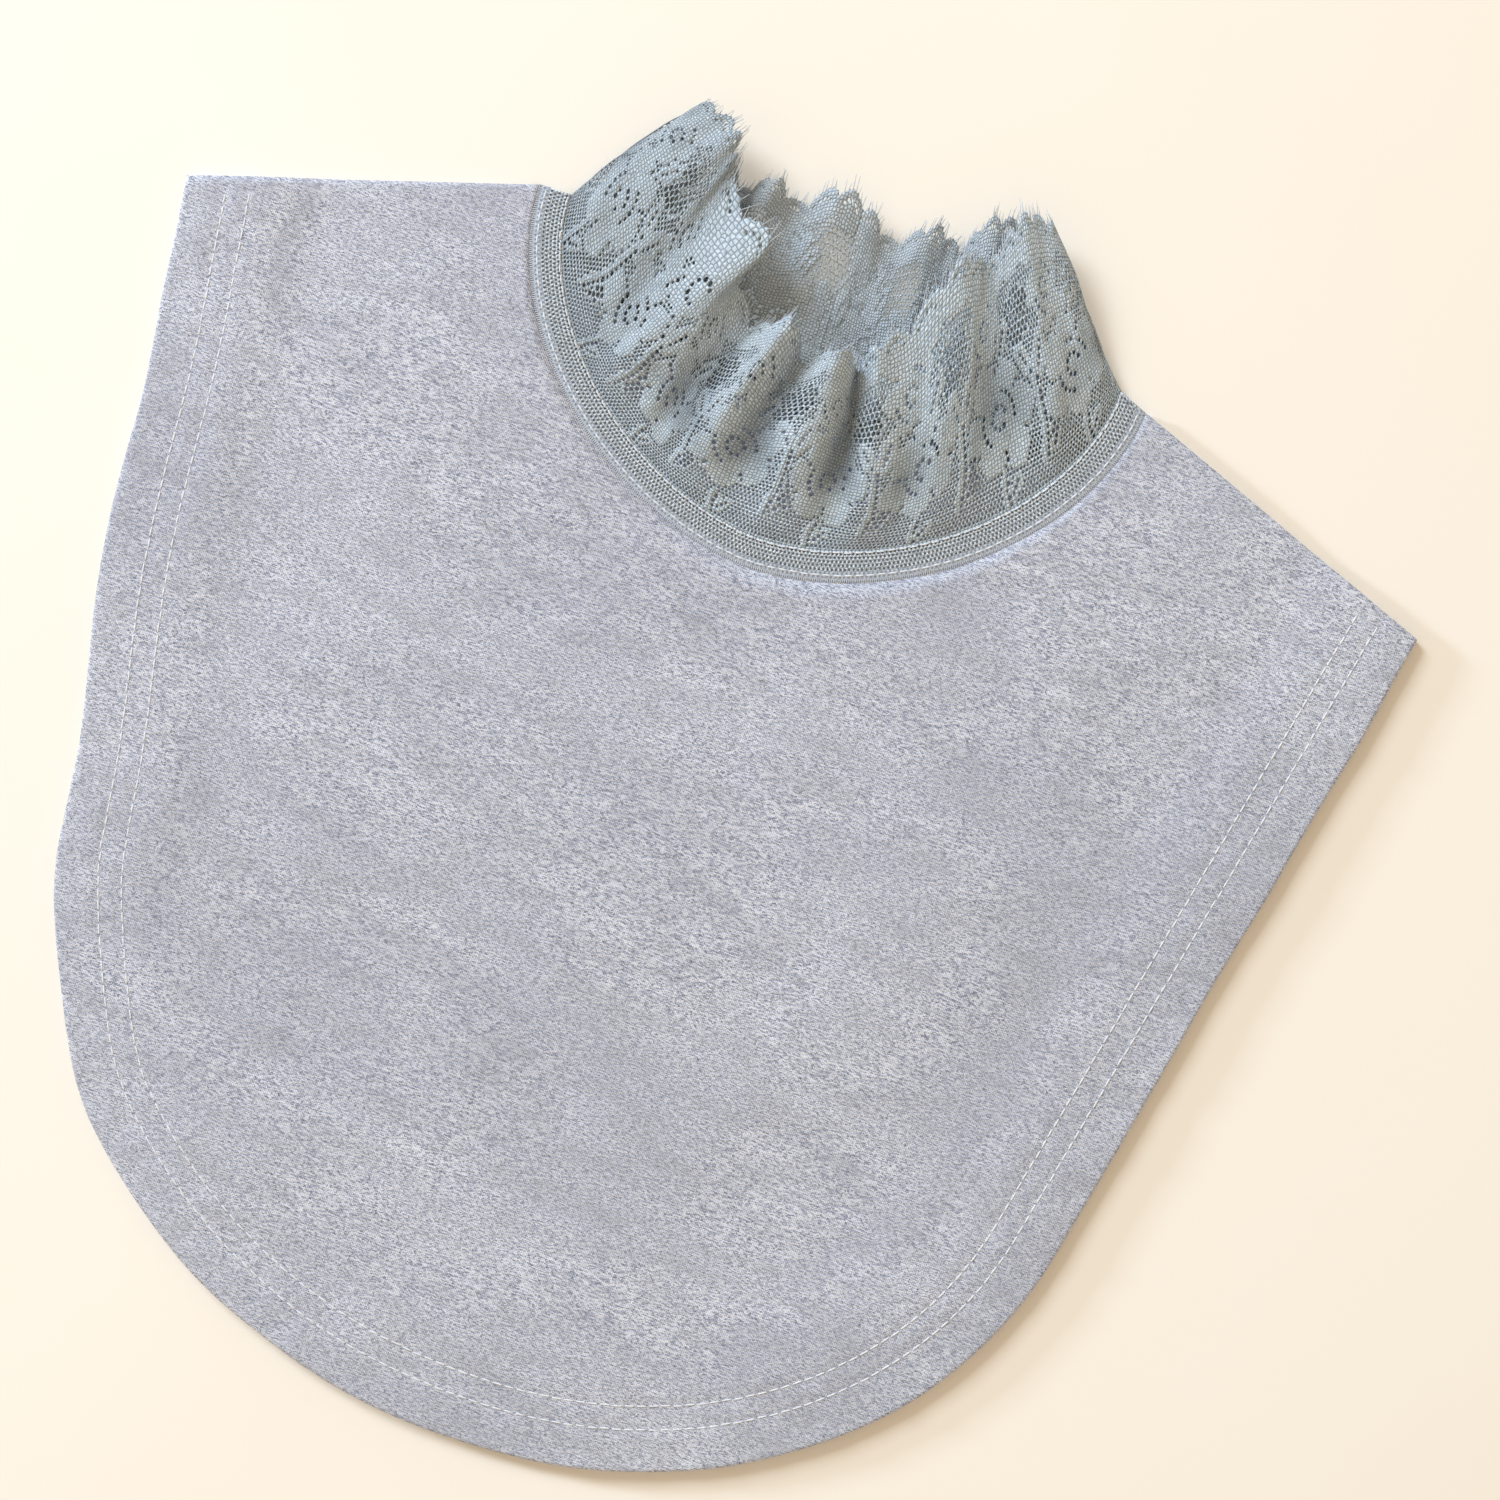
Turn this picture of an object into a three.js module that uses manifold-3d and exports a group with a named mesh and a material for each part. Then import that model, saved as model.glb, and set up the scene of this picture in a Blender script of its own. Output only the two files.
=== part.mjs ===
// Detachable lace collar: a pull-on jersey bib with a gathered lace mock neck, laid flat.
// Units are millimetres. +Z is up from the surface that the collar lies on, +X runs along the
// shoulders and +Y from the hem towards the neck. The origin is the middle of the footprint.

import * as THREE from 'three';
import Module from 'manifold-3d';
import { mergeVertices } from 'three/addons/utils/BufferGeometryUtils.js';

// ---------- driving dimensions ----------

const SEAM_GAP = 0.3; // air left between two sewn pieces
const JERSEY = 1.0; // one layer of jersey
const HEM_RISE = 0.8; // second layer of the turned hem
const HEM_WIDTH = 20; // depth of the turned hem
const HEM_STEP = 1.5; // width over which the hem's second layer ends

const SHOULDER_HALF = 184; // centre to shoulder tip
const SHOULDER_TIP_Y = 114.3;
const SIDE_END_Y = -82; // the straight sides end here and the round hem starts
const SIDE_LEAN = 0.175; // how fast the sides draw in on the way down
const HEM_DEPTH = 107.5; // from the end of the sides to the lowest point
const HEM_POWER = 2.1; // roundness of the hem, 2 is an ellipse
const HEM_SKEW = 4; // the lowest point lies this far to the right

// The left side isn't laid out quite straight: it bows out above and draws in where the hem starts.
const LEFT_BOWS = [
  { y: 10, half: 62, out: 2.9 },
  { y: -106, half: 36, out: -3.5 },
];

const NECK_HALF = 90; // centre to the neck end of a shoulder
const NECK_END_Y = 147;
const FRONT_NECK_DEPTH = 79.5;
const BACK_NECK_DEPTH = 38;
const NECK_POWER = 1.8; // roundness of the neckline

const TAPE_WIDTH = 2.6; // narrow seam tape along the neckline
const TAPE_RISE = 0.8; // the tape stands this far above the jersey
const BAND_END = 8.3; // the net band ends here, counted from the neckline
const LACE_START = BAND_END + SEAM_GAP;
const LACE = 1.0; // wall of the lace

const SCALLOP_COUNT = { front: 24, back: 20 };
const SCALLOP_DEPTH = 2.8;
const SCALLOP_POWER = 0.7; // under 1 gives round lobes with narrow nicks
const EDGE_STEPS = { front: 120, back: 100 }; // columns of the lace, each ending in one lash
const LASH_STRIP = 0.9; // width of the strip that the lashes grow from
const FRINGE_GAP = 0.8; // air between the lace's edge and that strip, measured along a fold
const LASH_LENGTH = 3.6;
const LASH_RADIUS = 0.32;
const LASH_FAN = 0.55; // how far a lash leans to either side of straight out
const LACE_HEIGHT = 58; // lace above the net band, along the cloth

const BACK_TOP = JERSEY; // top face of the back panel
const FRONT_UNDER = BACK_TOP + SEAM_GAP; // under face of the front panel

// Broad soft rises of the front panel: centre, half-axes and height.
const FRONT_RISES = [
  { x: 0, y: -20, acrossX: 150, acrossY: 80, height: 1.4 },
  { x: -95, y: 20, acrossX: 55, acrossY: 80, height: 0.8 },
  { x: 90, y: -10, acrossX: 60, acrossY: 90, height: 0.9 },
  { x: 20, y: -110, acrossX: 80, acrossY: 45, height: 0.7 },
];

// The folds of the lace neck. at: place along the foot of the lace, 0 at the left fold and 1 at
// the right one. midX to midZ: the fold's line half way up. topX to topZ: its end at the edge.
const FRONT_FOLDS = [
  { name: 'left fold', at: 0, midX: -69, midY: 166.5, midZ: 7.0, topX: -55, topY: 183, topZ: 11.5 },
  { name: 'left side', at: 0.09, midX: -60.5, midY: 150, midZ: 10.0, topX: -43.5, topY: 178, topZ: 15.5 },
  { name: 'left crease', at: 0.185, midX: -51, midY: 127, midZ: 7.4, topX: -40, topY: 164, topZ: 12.5 },
  { name: 'left roll', at: 0.24, midX: -43, midY: 119.5, midZ: 11.5, topX: -24.5, topY: 151, topZ: 18.5 },
  { name: 'roll turn', at: 0.285, midX: -35.5, midY: 113.5, midZ: 8, topX: -28, topY: 141, topZ: 12 },
  { name: 'left hollow', at: 0.34, midX: -29.5, midY: 105, midZ: 4.8, topX: -20, topY: 130.5, topZ: 7.6 },
  { name: 'rose ridge', at: 0.41, midX: -19.5, midY: 104, midZ: 10.5, topX: -11, topY: 135, topZ: 16.5 },
  { name: 'dark hollow', at: 0.455, midX: -8.5, midY: 102, midZ: 4.4, topX: -4.5, topY: 126, topZ: 7.4 },
  { name: 'middle ridge', at: 0.505, midX: 2.5, midY: 104, midZ: 11.5, topX: 4, topY: 131.5, topZ: 18 },
  { name: 'ridge side', at: 0.54, midX: 9.5, midY: 103.5, midZ: 9.4, topX: 9, topY: 130.5, topZ: 14.5 },
  { name: 'slot', at: 0.575, midX: 15.8, midY: 104, midZ: 4.0, topX: 10.8, topY: 128.5, topZ: 7.6 },
  { name: 'slot far side', at: 0.615, midX: 23.5, midY: 105, midZ: 10.2, topX: 13.5, topY: 136, topZ: 14.5 },
  { name: 'soft hollow', at: 0.665, midX: 33, midY: 112, midZ: 7.8, topX: 20, topY: 144.5, topZ: 12 },
  { name: 'right column', at: 0.73, midX: 40.5, midY: 124, midZ: 10.8, topX: 27.5, topY: 166, topZ: 15 },
  { name: 'right slit', at: 0.81, midX: 48.5, midY: 138, midZ: 6.6, topX: 35, topY: 170, topZ: 10 },
  { name: 'right side', at: 0.9, midX: 59, midY: 151, midZ: 10.6, topX: 39.5, topY: 184, topZ: 15.5 },
  { name: 'right fold', at: 1, midX: 69, midY: 165, midZ: 7.0, topX: 48.5, topY: 184.5, topZ: 11.5 },
];
const BACK_FOLDS = [
  { name: 'left fold', at: 0, midX: -69, midY: 166.5, midZ: 5.6, topX: -55, topY: 183, topZ: 10.1 },
  { name: 'far left wave', at: 0.12, midX: -55, midY: 153, midZ: 2.8, topX: -45, topY: 176, topZ: 5.5 },
  { name: 'left dip', at: 0.22, midX: -44, midY: 145, midZ: 1.6, topX: -37, topY: 165.5, topZ: 2.4 },
  { name: 'left wave', at: 0.31, midX: -33, midY: 144, midZ: 3.6, topX: -29, topY: 170.5, topZ: 9 },
  { name: 'left trough', at: 0.38, midX: -22, midY: 141, midZ: 1.5, topX: -21, topY: 167, topZ: 3 },
  { name: 'middle wave', at: 0.45, midX: -10, midY: 143, midZ: 2.8, topX: -11, topY: 174.5, topZ: 7.5 },
  { name: 'middle slope', at: 0.51, midX: 0, midY: 142, midZ: 2.4, topX: -2, topY: 172, topZ: 6 },
  { name: 'middle trough', at: 0.58, midX: 9, midY: 141, midZ: 1.5, topX: 7, topY: 166.5, topZ: 2.6 },
  { name: 'right wave', at: 0.67, midX: 20, midY: 144, midZ: 2.8, topX: 17.5, topY: 174, topZ: 6 },
  { name: 'right trough', at: 0.75, midX: 30, midY: 146, midZ: 1.8, topX: 25.5, topY: 171.5, topZ: 2.8 },
  { name: 'right peak', at: 0.82, midX: 40, midY: 151, midZ: 3.2, topX: 31, topY: 181, topZ: 8.5 },
  { name: 'far right wave', at: 0.91, midX: 54, midY: 158, midZ: 2.6, topX: 39.5, topY: 183.5, topZ: 6 },
  { name: 'right fold', at: 1, midX: 69, midY: 165, midZ: 5.6, topX: 48.5, topY: 184.5, topZ: 10.1 },
];
const FOOT_Z = { front: 2.25, back: 0.65 }; // middle of the lace wall at its foot

const COLOURS = { jersey: 0xb9bec9, tape: 0x8d999d, net: 0x98a3a6, lace: 0x9ba8ad, lash: 0xaeb9bd };

// ---------- small helpers ----------

function smooth(value) {
  const t = Math.min(1, Math.max(0, value));
  return t * t * (3 - 2 * t);
}

// Steady pseudo-random numbers from 0 to 1, the same for each build.
function noise(index) {
  const wave = Math.sin(index * 12.9898 + 4.1) * 43758.5453;
  return wave - Math.floor(wave);
}

// A line in the plane that is walked by its length, from 0 to 1, with its inner side on the left.
class Track {
  constructor(points) {
    this.points = points;
    this.reach = [0];
    for (let i = 1; i < points.length; i += 1) {
      this.reach.push(this.reach[i - 1] + points[i].distanceTo(points[i - 1]));
    }
  }

  at(fraction) {
    const goal = Math.min(1, Math.max(0, fraction)) * this.reach.at(-1);
    let i = 1;
    while (i < this.points.length - 1 && this.reach[i] < goal) {
      i += 1;
    }
    const share = (goal - this.reach[i - 1]) / (this.reach[i] - this.reach[i - 1]);
    return this.points[i - 1].clone().lerp(this.points[i], share);
  }

  inside(fraction, distance) {
    const before = this.at(fraction - 0.004);
    const after = this.at(fraction + 0.004);
    const along = after.sub(before).normalize();
    const place = this.at(fraction);
    return place.add(new THREE.Vector2(-along.y * distance, along.x * distance));
  }
}

// A closed wall over a grid of columns u and rows v. face(u, v, side) gives its place on the
// outer face for side 1 and on the under face for side -1.
function wall(uSteps, vSteps, face) {
  const positions = [];
  const index = [];
  const columns = vSteps.length;
  const layer = uSteps.length * columns;
  for (const side of [1, -1]) {
    for (const u of uSteps) {
      for (const v of vSteps) {
        positions.push(...face(u, v, side).toArray());
      }
    }
  }
  const outer = (i, j) => i * columns + j;
  const quad = (a, b, c, d) => index.push(a, b, c, a, c, d);
  for (let i = 0; i < uSteps.length - 1; i += 1) {
    for (let j = 0; j < columns - 1; j += 1) {
      const corners = [outer(i, j), outer(i + 1, j), outer(i + 1, j + 1), outer(i, j + 1)];
      quad(...corners);
      quad(...corners.map((corner) => corner + layer).reverse());
    }
    quad(outer(i + 1, 0), outer(i, 0), outer(i, 0) + layer, outer(i + 1, 0) + layer);
    const last = columns - 1;
    quad(outer(i, last), outer(i + 1, last), outer(i + 1, last) + layer, outer(i, last) + layer);
  }
  for (let j = 0; j < columns - 1; j += 1) {
    const end = uSteps.length - 1;
    quad(outer(0, j), outer(0, j + 1), outer(0, j + 1) + layer, outer(0, j) + layer);
    quad(outer(end, j + 1), outer(end, j), outer(end, j) + layer, outer(end, j + 1) + layer);
  }
  const geometry = new THREE.BufferGeometry();
  geometry.setAttribute('position', new THREE.Float32BufferAttribute(positions, 3));
  geometry.setIndex(index);
  return facingOut(geometry);
}

function facingOut(geometry) {
  const corners = geometry.attributes.position;
  const index = geometry.index.array;
  const [a, b, c] = [new THREE.Vector3(), new THREE.Vector3(), new THREE.Vector3()];
  let volume = 0;
  for (let i = 0; i < index.length; i += 3) {
    a.fromBufferAttribute(corners, index[i]);
    b.fromBufferAttribute(corners, index[i + 1]);
    c.fromBufferAttribute(corners, index[i + 2]);
    volume += a.dot(b.cross(c));
  }
  if (volume < 0) {
    index.reverse();
  }
  return geometry;
}

function steps(count) {
  return Array.from({ length: count + 1 }, (_, i) => i / count);
}

// ---------- outlines ----------

function neckline(depth) {
  const points = steps(160).map((share) => {
    const across = -Math.cos(Math.PI * share);
    const down = Math.sin(Math.PI * share);
    const x = NECK_HALF * Math.sign(across) * Math.abs(across) ** (2 / NECK_POWER);
    return new THREE.Vector2(x, NECK_END_Y - depth * Math.abs(down) ** (2 / NECK_POWER));
  });
  return new Track(points);
}

function leftBow(y) {
  let out = 0;
  for (const bow of LEFT_BOWS) {
    const far = ((y - bow.y) / bow.half) ** 2;
    out += far < 1 ? bow.out * (1 - far) ** 2 : 0;
  }
  return out;
}

// The free edge of a panel, from the left shoulder tip round the hem to the right one.
function hemLine() {
  const left = [];
  for (const share of steps(120)) {
    const angle = (Math.PI / 2) * share;
    const drop = HEM_DEPTH * Math.sin(angle) ** (2 / HEM_POWER);
    const y = SIDE_END_Y - drop;
    const straight = SHOULDER_HALF - SIDE_LEAN * (SHOULDER_TIP_Y - y);
    left.push(new THREE.Vector2(-straight * Math.cos(angle) ** (2 / HEM_POWER), y));
  }
  const tip = new THREE.Vector2(-SHOULDER_HALF, SHOULDER_TIP_Y);
  left.unshift(...steps(60).slice(0, -1).map((share) => tip.clone().lerp(left[0], share)));
  const right = left.map((point) => new THREE.Vector2(-point.x, point.y)).reverse();
  for (const point of left) {
    point.x -= leftBow(point.y);
  }
  const points = [...left, ...right.slice(1)];
  for (const point of points) {
    const low = smooth((SIDE_END_Y - point.y) / HEM_DEPTH);
    point.x += HEM_SKEW * low;
  }
  return new Track(points);
}

const hem = hemLine();
const necklines = { front: neckline(FRONT_NECK_DEPTH), back: neckline(BACK_NECK_DEPTH) };

// ---------- jersey panels ----------

function frontRise(x, y) {
  let rise = 0;
  for (const bump of FRONT_RISES) {
    const far = ((x - bump.x) / bump.acrossX) ** 2 + ((y - bump.y) / bump.acrossY) ** 2;
    rise += far < 1 ? bump.height * (1 - far) ** 2 : 0;
  }
  return rise;
}

// The rows of a panel. cloth: share of the way from the neckline to the turned hem. fromEdge:
// distance from the free edge, so that the hem has an even depth all round.
const FRONT_ROWS = [
  { cloth: 0 },
  { cloth: 0.2 },
  { cloth: 0.45 },
  { cloth: 0.72 },
  { cloth: 1 },
  { fromEdge: HEM_WIDTH },
  { fromEdge: HEM_WIDTH / 2 },
  { fromEdge: 0 },
];
const BACK_ROWS = [{ cloth: 0 }, { cloth: 0.5 }, { cloth: 1 }, { fromEdge: HEM_WIDTH }, { fromEdge: 0 }];

function rowDistance(row, full) {
  const hemStart = HEM_WIDTH + HEM_STEP;
  return 'fromEdge' in row ? row.fromEdge : hemStart + (1 - row.cloth) * (full - hemStart);
}

function panel(side, along, rows) {
  const under = side === 'front' ? FRONT_UNDER : 0;
  const lowerHem = side === 'front' ? HEM_RISE : 0;
  return wall(steps(along), rows, (u, row, face) => {
    const inner = necklines[side].inside(u, -SEAM_GAP);
    const edge = hem.at(u);
    const full = inner.distanceTo(edge);
    const fromEdge = rowDistance(row, full);
    const place = edge.clone().lerp(inner, fromEdge / full);
    const inHem = smooth((HEM_WIDTH + HEM_STEP - fromEdge) / HEM_STEP);
    const bottom = under + lowerHem * inHem + (side === 'front' ? frontRise(place.x, place.y) : 0);
    const thickness = JERSEY + HEM_RISE * inHem;
    return new THREE.Vector3(place.x, place.y, face > 0 ? bottom + thickness : bottom);
  });
}

// ---------- neck seam: tape and net band ----------

function tape(side) {
  const bottom = side === 'front' ? FRONT_UNDER : 0;
  const top = side === 'front' ? bottom + JERSEY + TAPE_RISE : bottom + JERSEY;
  return wall(steps(48), [0, 1], (u, v, face) => {
    const place = necklines[side].inside(u, v * TAPE_WIDTH);
    return new THREE.Vector3(place.x, place.y, face > 0 ? top : bottom);
  });
}

function netBand(side) {
  const start = TAPE_WIDTH + SEAM_GAP;
  return wall(steps(48), [0, 1], (u, v, face) => {
    const place = necklines[side].inside(u, start + v * (BAND_END - start));
    return new THREE.Vector3(place.x, place.y, FOOT_Z[side] + (face * LACE) / 2);
  });
}

// ---------- lace neck ----------

// The lace tube is one closed ring of folds: the front from left to right, then the back from
// right to left. Each fold line is a parabola through its foot, its middle and its top.
function ring(level) {
  const ordered = [...FRONT_FOLDS, ...BACK_FOLDS.slice().reverse()];
  const points = ordered.map((fold) => {
    const place = [fold[`${level}X`], fold[`${level}Y`], fold[`${level}Z`]];
    return new THREE.Vector3(...place);
  });
  return new THREE.CatmullRomCurve3(points, true, 'centripetal');
}

const middleRing = ring('mid');
const topRing = ring('top');
const foldCount = FRONT_FOLDS.length + BACK_FOLDS.length;

function ringShare(side, u) {
  const folds = side === 'front' ? FRONT_FOLDS : BACK_FOLDS;
  let i = 1;
  while (i < folds.length - 1 && folds[i].at < u) {
    i += 1;
  }
  const share = (u - folds[i - 1].at) / (folds[i].at - folds[i - 1].at);
  const place = i - 1 + share;
  return (side === 'front' ? place : foldCount - 1 - place) / foldCount;
}

function lacePoint(side, u, t) {
  const foot = necklines[side].inside(u, LACE_START);
  const share = ringShare(side, u);
  const low = new THREE.Vector3(foot.x, foot.y, FOOT_Z[side]).multiplyScalar((1 - t) * (1 - 2 * t));
  const middle = middleRing.getPoint(share).multiplyScalar(4 * t * (1 - t));
  const top = topRing.getPoint(share).multiplyScalar(t * (2 * t - 1));
  return low.add(middle).add(top);
}

function laceFrame(side, u, t) {
  const du = 0.002;
  const clampU = Math.min(1 - du, Math.max(du, u));
  const along = lacePoint(side, clampU + du, t).sub(lacePoint(side, clampU - du, t));
  const outward = lacePoint(side, u, t + 0.02).sub(lacePoint(side, u, t - 0.02)).normalize();
  const normal = new THREE.Vector3().crossVectors(along, outward).normalize();
  return { along: along.normalize(), outward, normal };
}

// The scalloped edge: round lobes with a narrow nick between them.
function edgeAt(side, u) {
  const lobe = Math.abs(Math.sin(Math.PI * SCALLOP_COUNT[side] * u));
  return 1 + (SCALLOP_DEPTH * (lobe ** SCALLOP_POWER - 0.6)) / LACE_HEIGHT;
}

function laceWall(side, rise) {
  return wall(steps(EDGE_STEPS[side]), steps(rise), (u, v, face) => {
    const t = v * edgeAt(side, u);
    const { normal } = laceFrame(side, u, t);
    return lacePoint(side, u, t).addScaledVector(normal, (face * LACE) / 2);
  });
}

// ---------- eyelash fringe ----------

function edgeStrip(side) {
  const gap = FRINGE_GAP / LACE_HEIGHT;
  const width = LASH_STRIP / LACE_HEIGHT;
  return wall(steps(EDGE_STEPS[side]), [0, 1], (u, v, face) => {
    const t = edgeAt(side, u) + gap + v * width;
    const { normal } = laceFrame(side, u, t);
    return lacePoint(side, u, t).addScaledVector(normal, (face * LACE) / 2);
  });
}

// A lash is a thin three-sided spike rooted in the strip.
function lash(root, direction, normal, length) {
  const across = new THREE.Vector3().crossVectors(direction, normal).normalize();
  const corners = [0, 1, 2].map((i) => {
    const angle = (2 * Math.PI * i) / 3;
    const point = root.clone().addScaledVector(across, LASH_RADIUS * Math.cos(angle));
    return point.addScaledVector(normal, LASH_RADIUS * Math.sin(angle));
  });
  corners.push(root.clone().addScaledVector(direction, length));
  const geometry = new THREE.BufferGeometry().setFromPoints(corners);
  geometry.setIndex([0, 1, 2, 0, 3, 1, 1, 3, 2, 2, 3, 0]);
  return facingOut(geometry);
}

function fringe(side, wasm) {
  let solid = toManifold(edgeStrip(side), wasm);
  const rootShare = (FRINGE_GAP + LASH_STRIP * 0.6) / LACE_HEIGHT;
  for (let i = 1; i < EDGE_STEPS[side]; i += 1) {
    const u = i / EDGE_STEPS[side];
    const t = edgeAt(side, u) + rootShare;
    const root = lacePoint(side, u, t);
    const { along: tangent, outward, normal } = laceFrame(side, u, t);
    const lean = LASH_FAN * (2 * noise(i) - 1);
    const lift = side === 'back' ? 0.12 : 0.5 * (noise(i + 500) - 0.4);
    const direction = outward.clone().addScaledVector(tangent, lean);
    direction.addScaledVector(normal, lift).normalize();
    const length = LASH_LENGTH * (0.75 + 0.5 * noise(i + 900)) + LASH_STRIP / 2;
    solid = solid.add(toManifold(lash(root, direction, normal, length), wasm));
  }
  return fromManifold(solid);
}

function toManifold(geometry, wasm) {
  const bare = geometry.clone();
  bare.deleteAttribute('normal');
  bare.deleteAttribute('uv');
  const merged = mergeVertices(bare, 1e-4);
  const mesh = new wasm.Mesh({
    numProp: 3,
    vertProperties: Float32Array.from(merged.attributes.position.array),
    triVerts: Uint32Array.from(merged.index.array),
  });
  return new wasm.Manifold(mesh);
}

function fromManifold(solid) {
  const mesh = solid.getMesh();
  const geometry = new THREE.BufferGeometry();
  geometry.setAttribute('position', new THREE.BufferAttribute(mesh.vertProperties, mesh.numProp));
  geometry.setIndex(new THREE.BufferAttribute(mesh.triVerts, 1));
  return geometry;
}

// ---------- the collar ----------

const wasm = await Module();
wasm.setup();

const collar = new THREE.Group();

function addPiece(name, geometry, color, roughness) {
  const material = new THREE.MeshStandardMaterial({ color, roughness, metalness: 0 });
  const mesh = new THREE.Mesh(geometry, material);
  mesh.name = name;
  collar.add(mesh);
}

addPiece('back_panel', panel('back', 40, BACK_ROWS), COLOURS.jersey, 0.95);
addPiece('front_panel', panel('front', 56, FRONT_ROWS), COLOURS.jersey, 0.95);
for (const side of ['back', 'front']) {
  addPiece(`neck_tape_${side}`, tape(side), COLOURS.tape, 0.85);
  addPiece(`net_band_${side}`, netBand(side), COLOURS.net, 0.85);
}
addPiece('lace_back', laceWall('back', 6), COLOURS.lace, 0.8);
addPiece('lace_front', laceWall('front', 8), COLOURS.lace, 0.8);
addPiece('lash_fringe_back', fringe('back', wasm), COLOURS.lash, 0.8);
addPiece('lash_fringe_front', fringe('front', wasm), COLOURS.lash, 0.8);

export default collar;
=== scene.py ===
"""Detachable lace collar laid flat: heather jersey bib with a gathered lace mock neck.

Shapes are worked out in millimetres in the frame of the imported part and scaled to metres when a
mesh is made. +X runs along the shoulders, +Y from the hem to the neck and +Z up.
"""

import math

import bpy
import numpy as np
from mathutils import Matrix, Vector, noise
from mathutils.geometry import delaunay_2d_cdt


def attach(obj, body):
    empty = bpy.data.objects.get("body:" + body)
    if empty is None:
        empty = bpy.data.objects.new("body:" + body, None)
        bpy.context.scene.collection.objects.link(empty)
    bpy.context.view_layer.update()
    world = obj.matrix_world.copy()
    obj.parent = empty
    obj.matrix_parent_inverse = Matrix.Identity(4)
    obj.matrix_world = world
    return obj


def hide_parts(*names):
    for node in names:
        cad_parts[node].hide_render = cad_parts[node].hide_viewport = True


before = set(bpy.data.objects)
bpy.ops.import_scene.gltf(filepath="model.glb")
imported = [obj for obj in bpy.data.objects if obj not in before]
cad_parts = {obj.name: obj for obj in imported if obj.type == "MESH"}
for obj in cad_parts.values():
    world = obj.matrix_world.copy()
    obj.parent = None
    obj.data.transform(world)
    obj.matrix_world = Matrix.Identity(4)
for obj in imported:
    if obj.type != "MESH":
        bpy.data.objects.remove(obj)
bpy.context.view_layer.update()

MM = 0.001
RNG = np.random.default_rng(20261)

# ---------- sizes, as in the solids ----------

SEAM_GAP = 0.3
JERSEY = 1.0
HEM_RISE = 0.8
HEM_WIDTH = 20.0
SHOULDER_HALF = 184.0
SHOULDER_TIP_Y = 114.3
SIDE_END_Y = -82.0
SIDE_LEAN = 0.175
HEM_DEPTH = 107.5
HEM_POWER = 2.1
HEM_SKEW = 4.0
LEFT_BOWS = [(10, 62, 2.9), (-106, 36, -3.5)]  # where the left side bows: y, half length, out
NECK_HALF = 90.0
NECK_END_Y = 147.0
NECK_DEPTH = {"front": 79.5, "back": 38.0}
NECK_POWER = 1.8
TAPE_WIDTH = 2.6
TAPE_RISE = 0.8
BAND_END = 8.3
LACE_HEIGHT = 58.0
FOOT_Z = {"front": 2.25, "back": 0.65}
SCALLOPS = {"front": 24, "back": 20}
SCALLOP_DEPTH = 2.8
PANEL_UNDER = {"front": JERSEY + SEAM_GAP, "back": 0.0}
ROW_RISE = 0.866  # from row to row in a triangular lattice of pitch 1

# Broad soft rises of the front panel: centre x, y, half-axes x, y and height.
FRONT_RISES = [
    (0, -20, 150, 80, 1.4),
    (-95, 20, 55, 80, 0.8),
    (90, -10, 60, 90, 0.9),
    (20, -110, 80, 45, 0.7),
]

# Folds of the lace neck: place along the foot, middle x, y, z, top x, y, z. The last row lies
# 2 mm nearer to the middle than in the solids, which straightens the right side fold.
FRONT_FOLDS = [
    (0, -69, 166.5, 7.0, -55, 183, 11.5),
    (0.09, -60.5, 150, 10.0, -43.5, 178, 15.5),
    (0.185, -51, 127, 7.4, -40, 164, 12.5),
    (0.24, -43, 119.5, 11.5, -24.5, 151, 18.5),
    (0.285, -35.5, 113.5, 8.0, -28, 141, 12),
    (0.34, -29.5, 105, 4.8, -20, 130.5, 7.6),
    (0.41, -19.5, 104, 10.5, -11, 135, 16.5),
    (0.455, -8.5, 102, 4.4, -4.5, 126, 7.4),
    (0.505, 2.5, 104, 11.5, 4, 131.5, 18),
    (0.54, 9.5, 103.5, 9.4, 9, 130.5, 14.5),
    (0.575, 15.8, 104, 4.0, 10.8, 128.5, 7.6),
    (0.615, 23.5, 105, 10.2, 13.5, 136, 14.5),
    (0.665, 33, 112, 7.8, 20, 144.5, 12),
    (0.73, 40.5, 124, 10.8, 27.5, 166, 15),
    (0.81, 48.5, 138, 6.6, 35, 170, 10),
    (0.9, 59, 151, 10.6, 39.5, 184, 15.5),
    (1, 67.2, 164.4, 7.0, 48.5, 184.5, 11.5),
]
BACK_FOLDS = [
    (0, -69, 166.5, 5.6, -55, 183, 10.1),
    (0.12, -55, 153, 2.8, -45, 176, 5.5),
    (0.22, -44, 145, 1.6, -37, 165.5, 2.4),
    (0.31, -33, 144, 3.6, -29, 170.5, 9),
    (0.38, -22, 141, 1.5, -21, 167, 3),
    (0.45, -10, 143, 2.8, -11, 174.5, 7.5),
    (0.51, 0, 142, 2.4, -2, 172, 6),
    (0.58, 9, 141, 1.5, 7, 166.5, 2.6),
    (0.67, 20, 144, 2.8, 17.5, 174, 6),
    (0.75, 30, 146, 1.8, 25.5, 171.5, 2.8),
    (0.82, 40, 151, 3.2, 31, 181, 8.5),
    (0.91, 54, 158, 2.6, 39.5, 183.5, 6),
    (1, 67.2, 164.4, 5.6, 48.5, 184.5, 10.1),
]
FOLDS = {"front": np.array(FRONT_FOLDS), "back": np.array(BACK_FOLDS)}

# ---------- small helpers ----------


def smooth(value):
    t = np.clip(value, 0, 1)
    return t * t * (3 - 2 * t)


def unit(vectors):
    return vectors / (np.linalg.norm(vectors, axis=-1, keepdims=True) + 1e-12)


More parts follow.
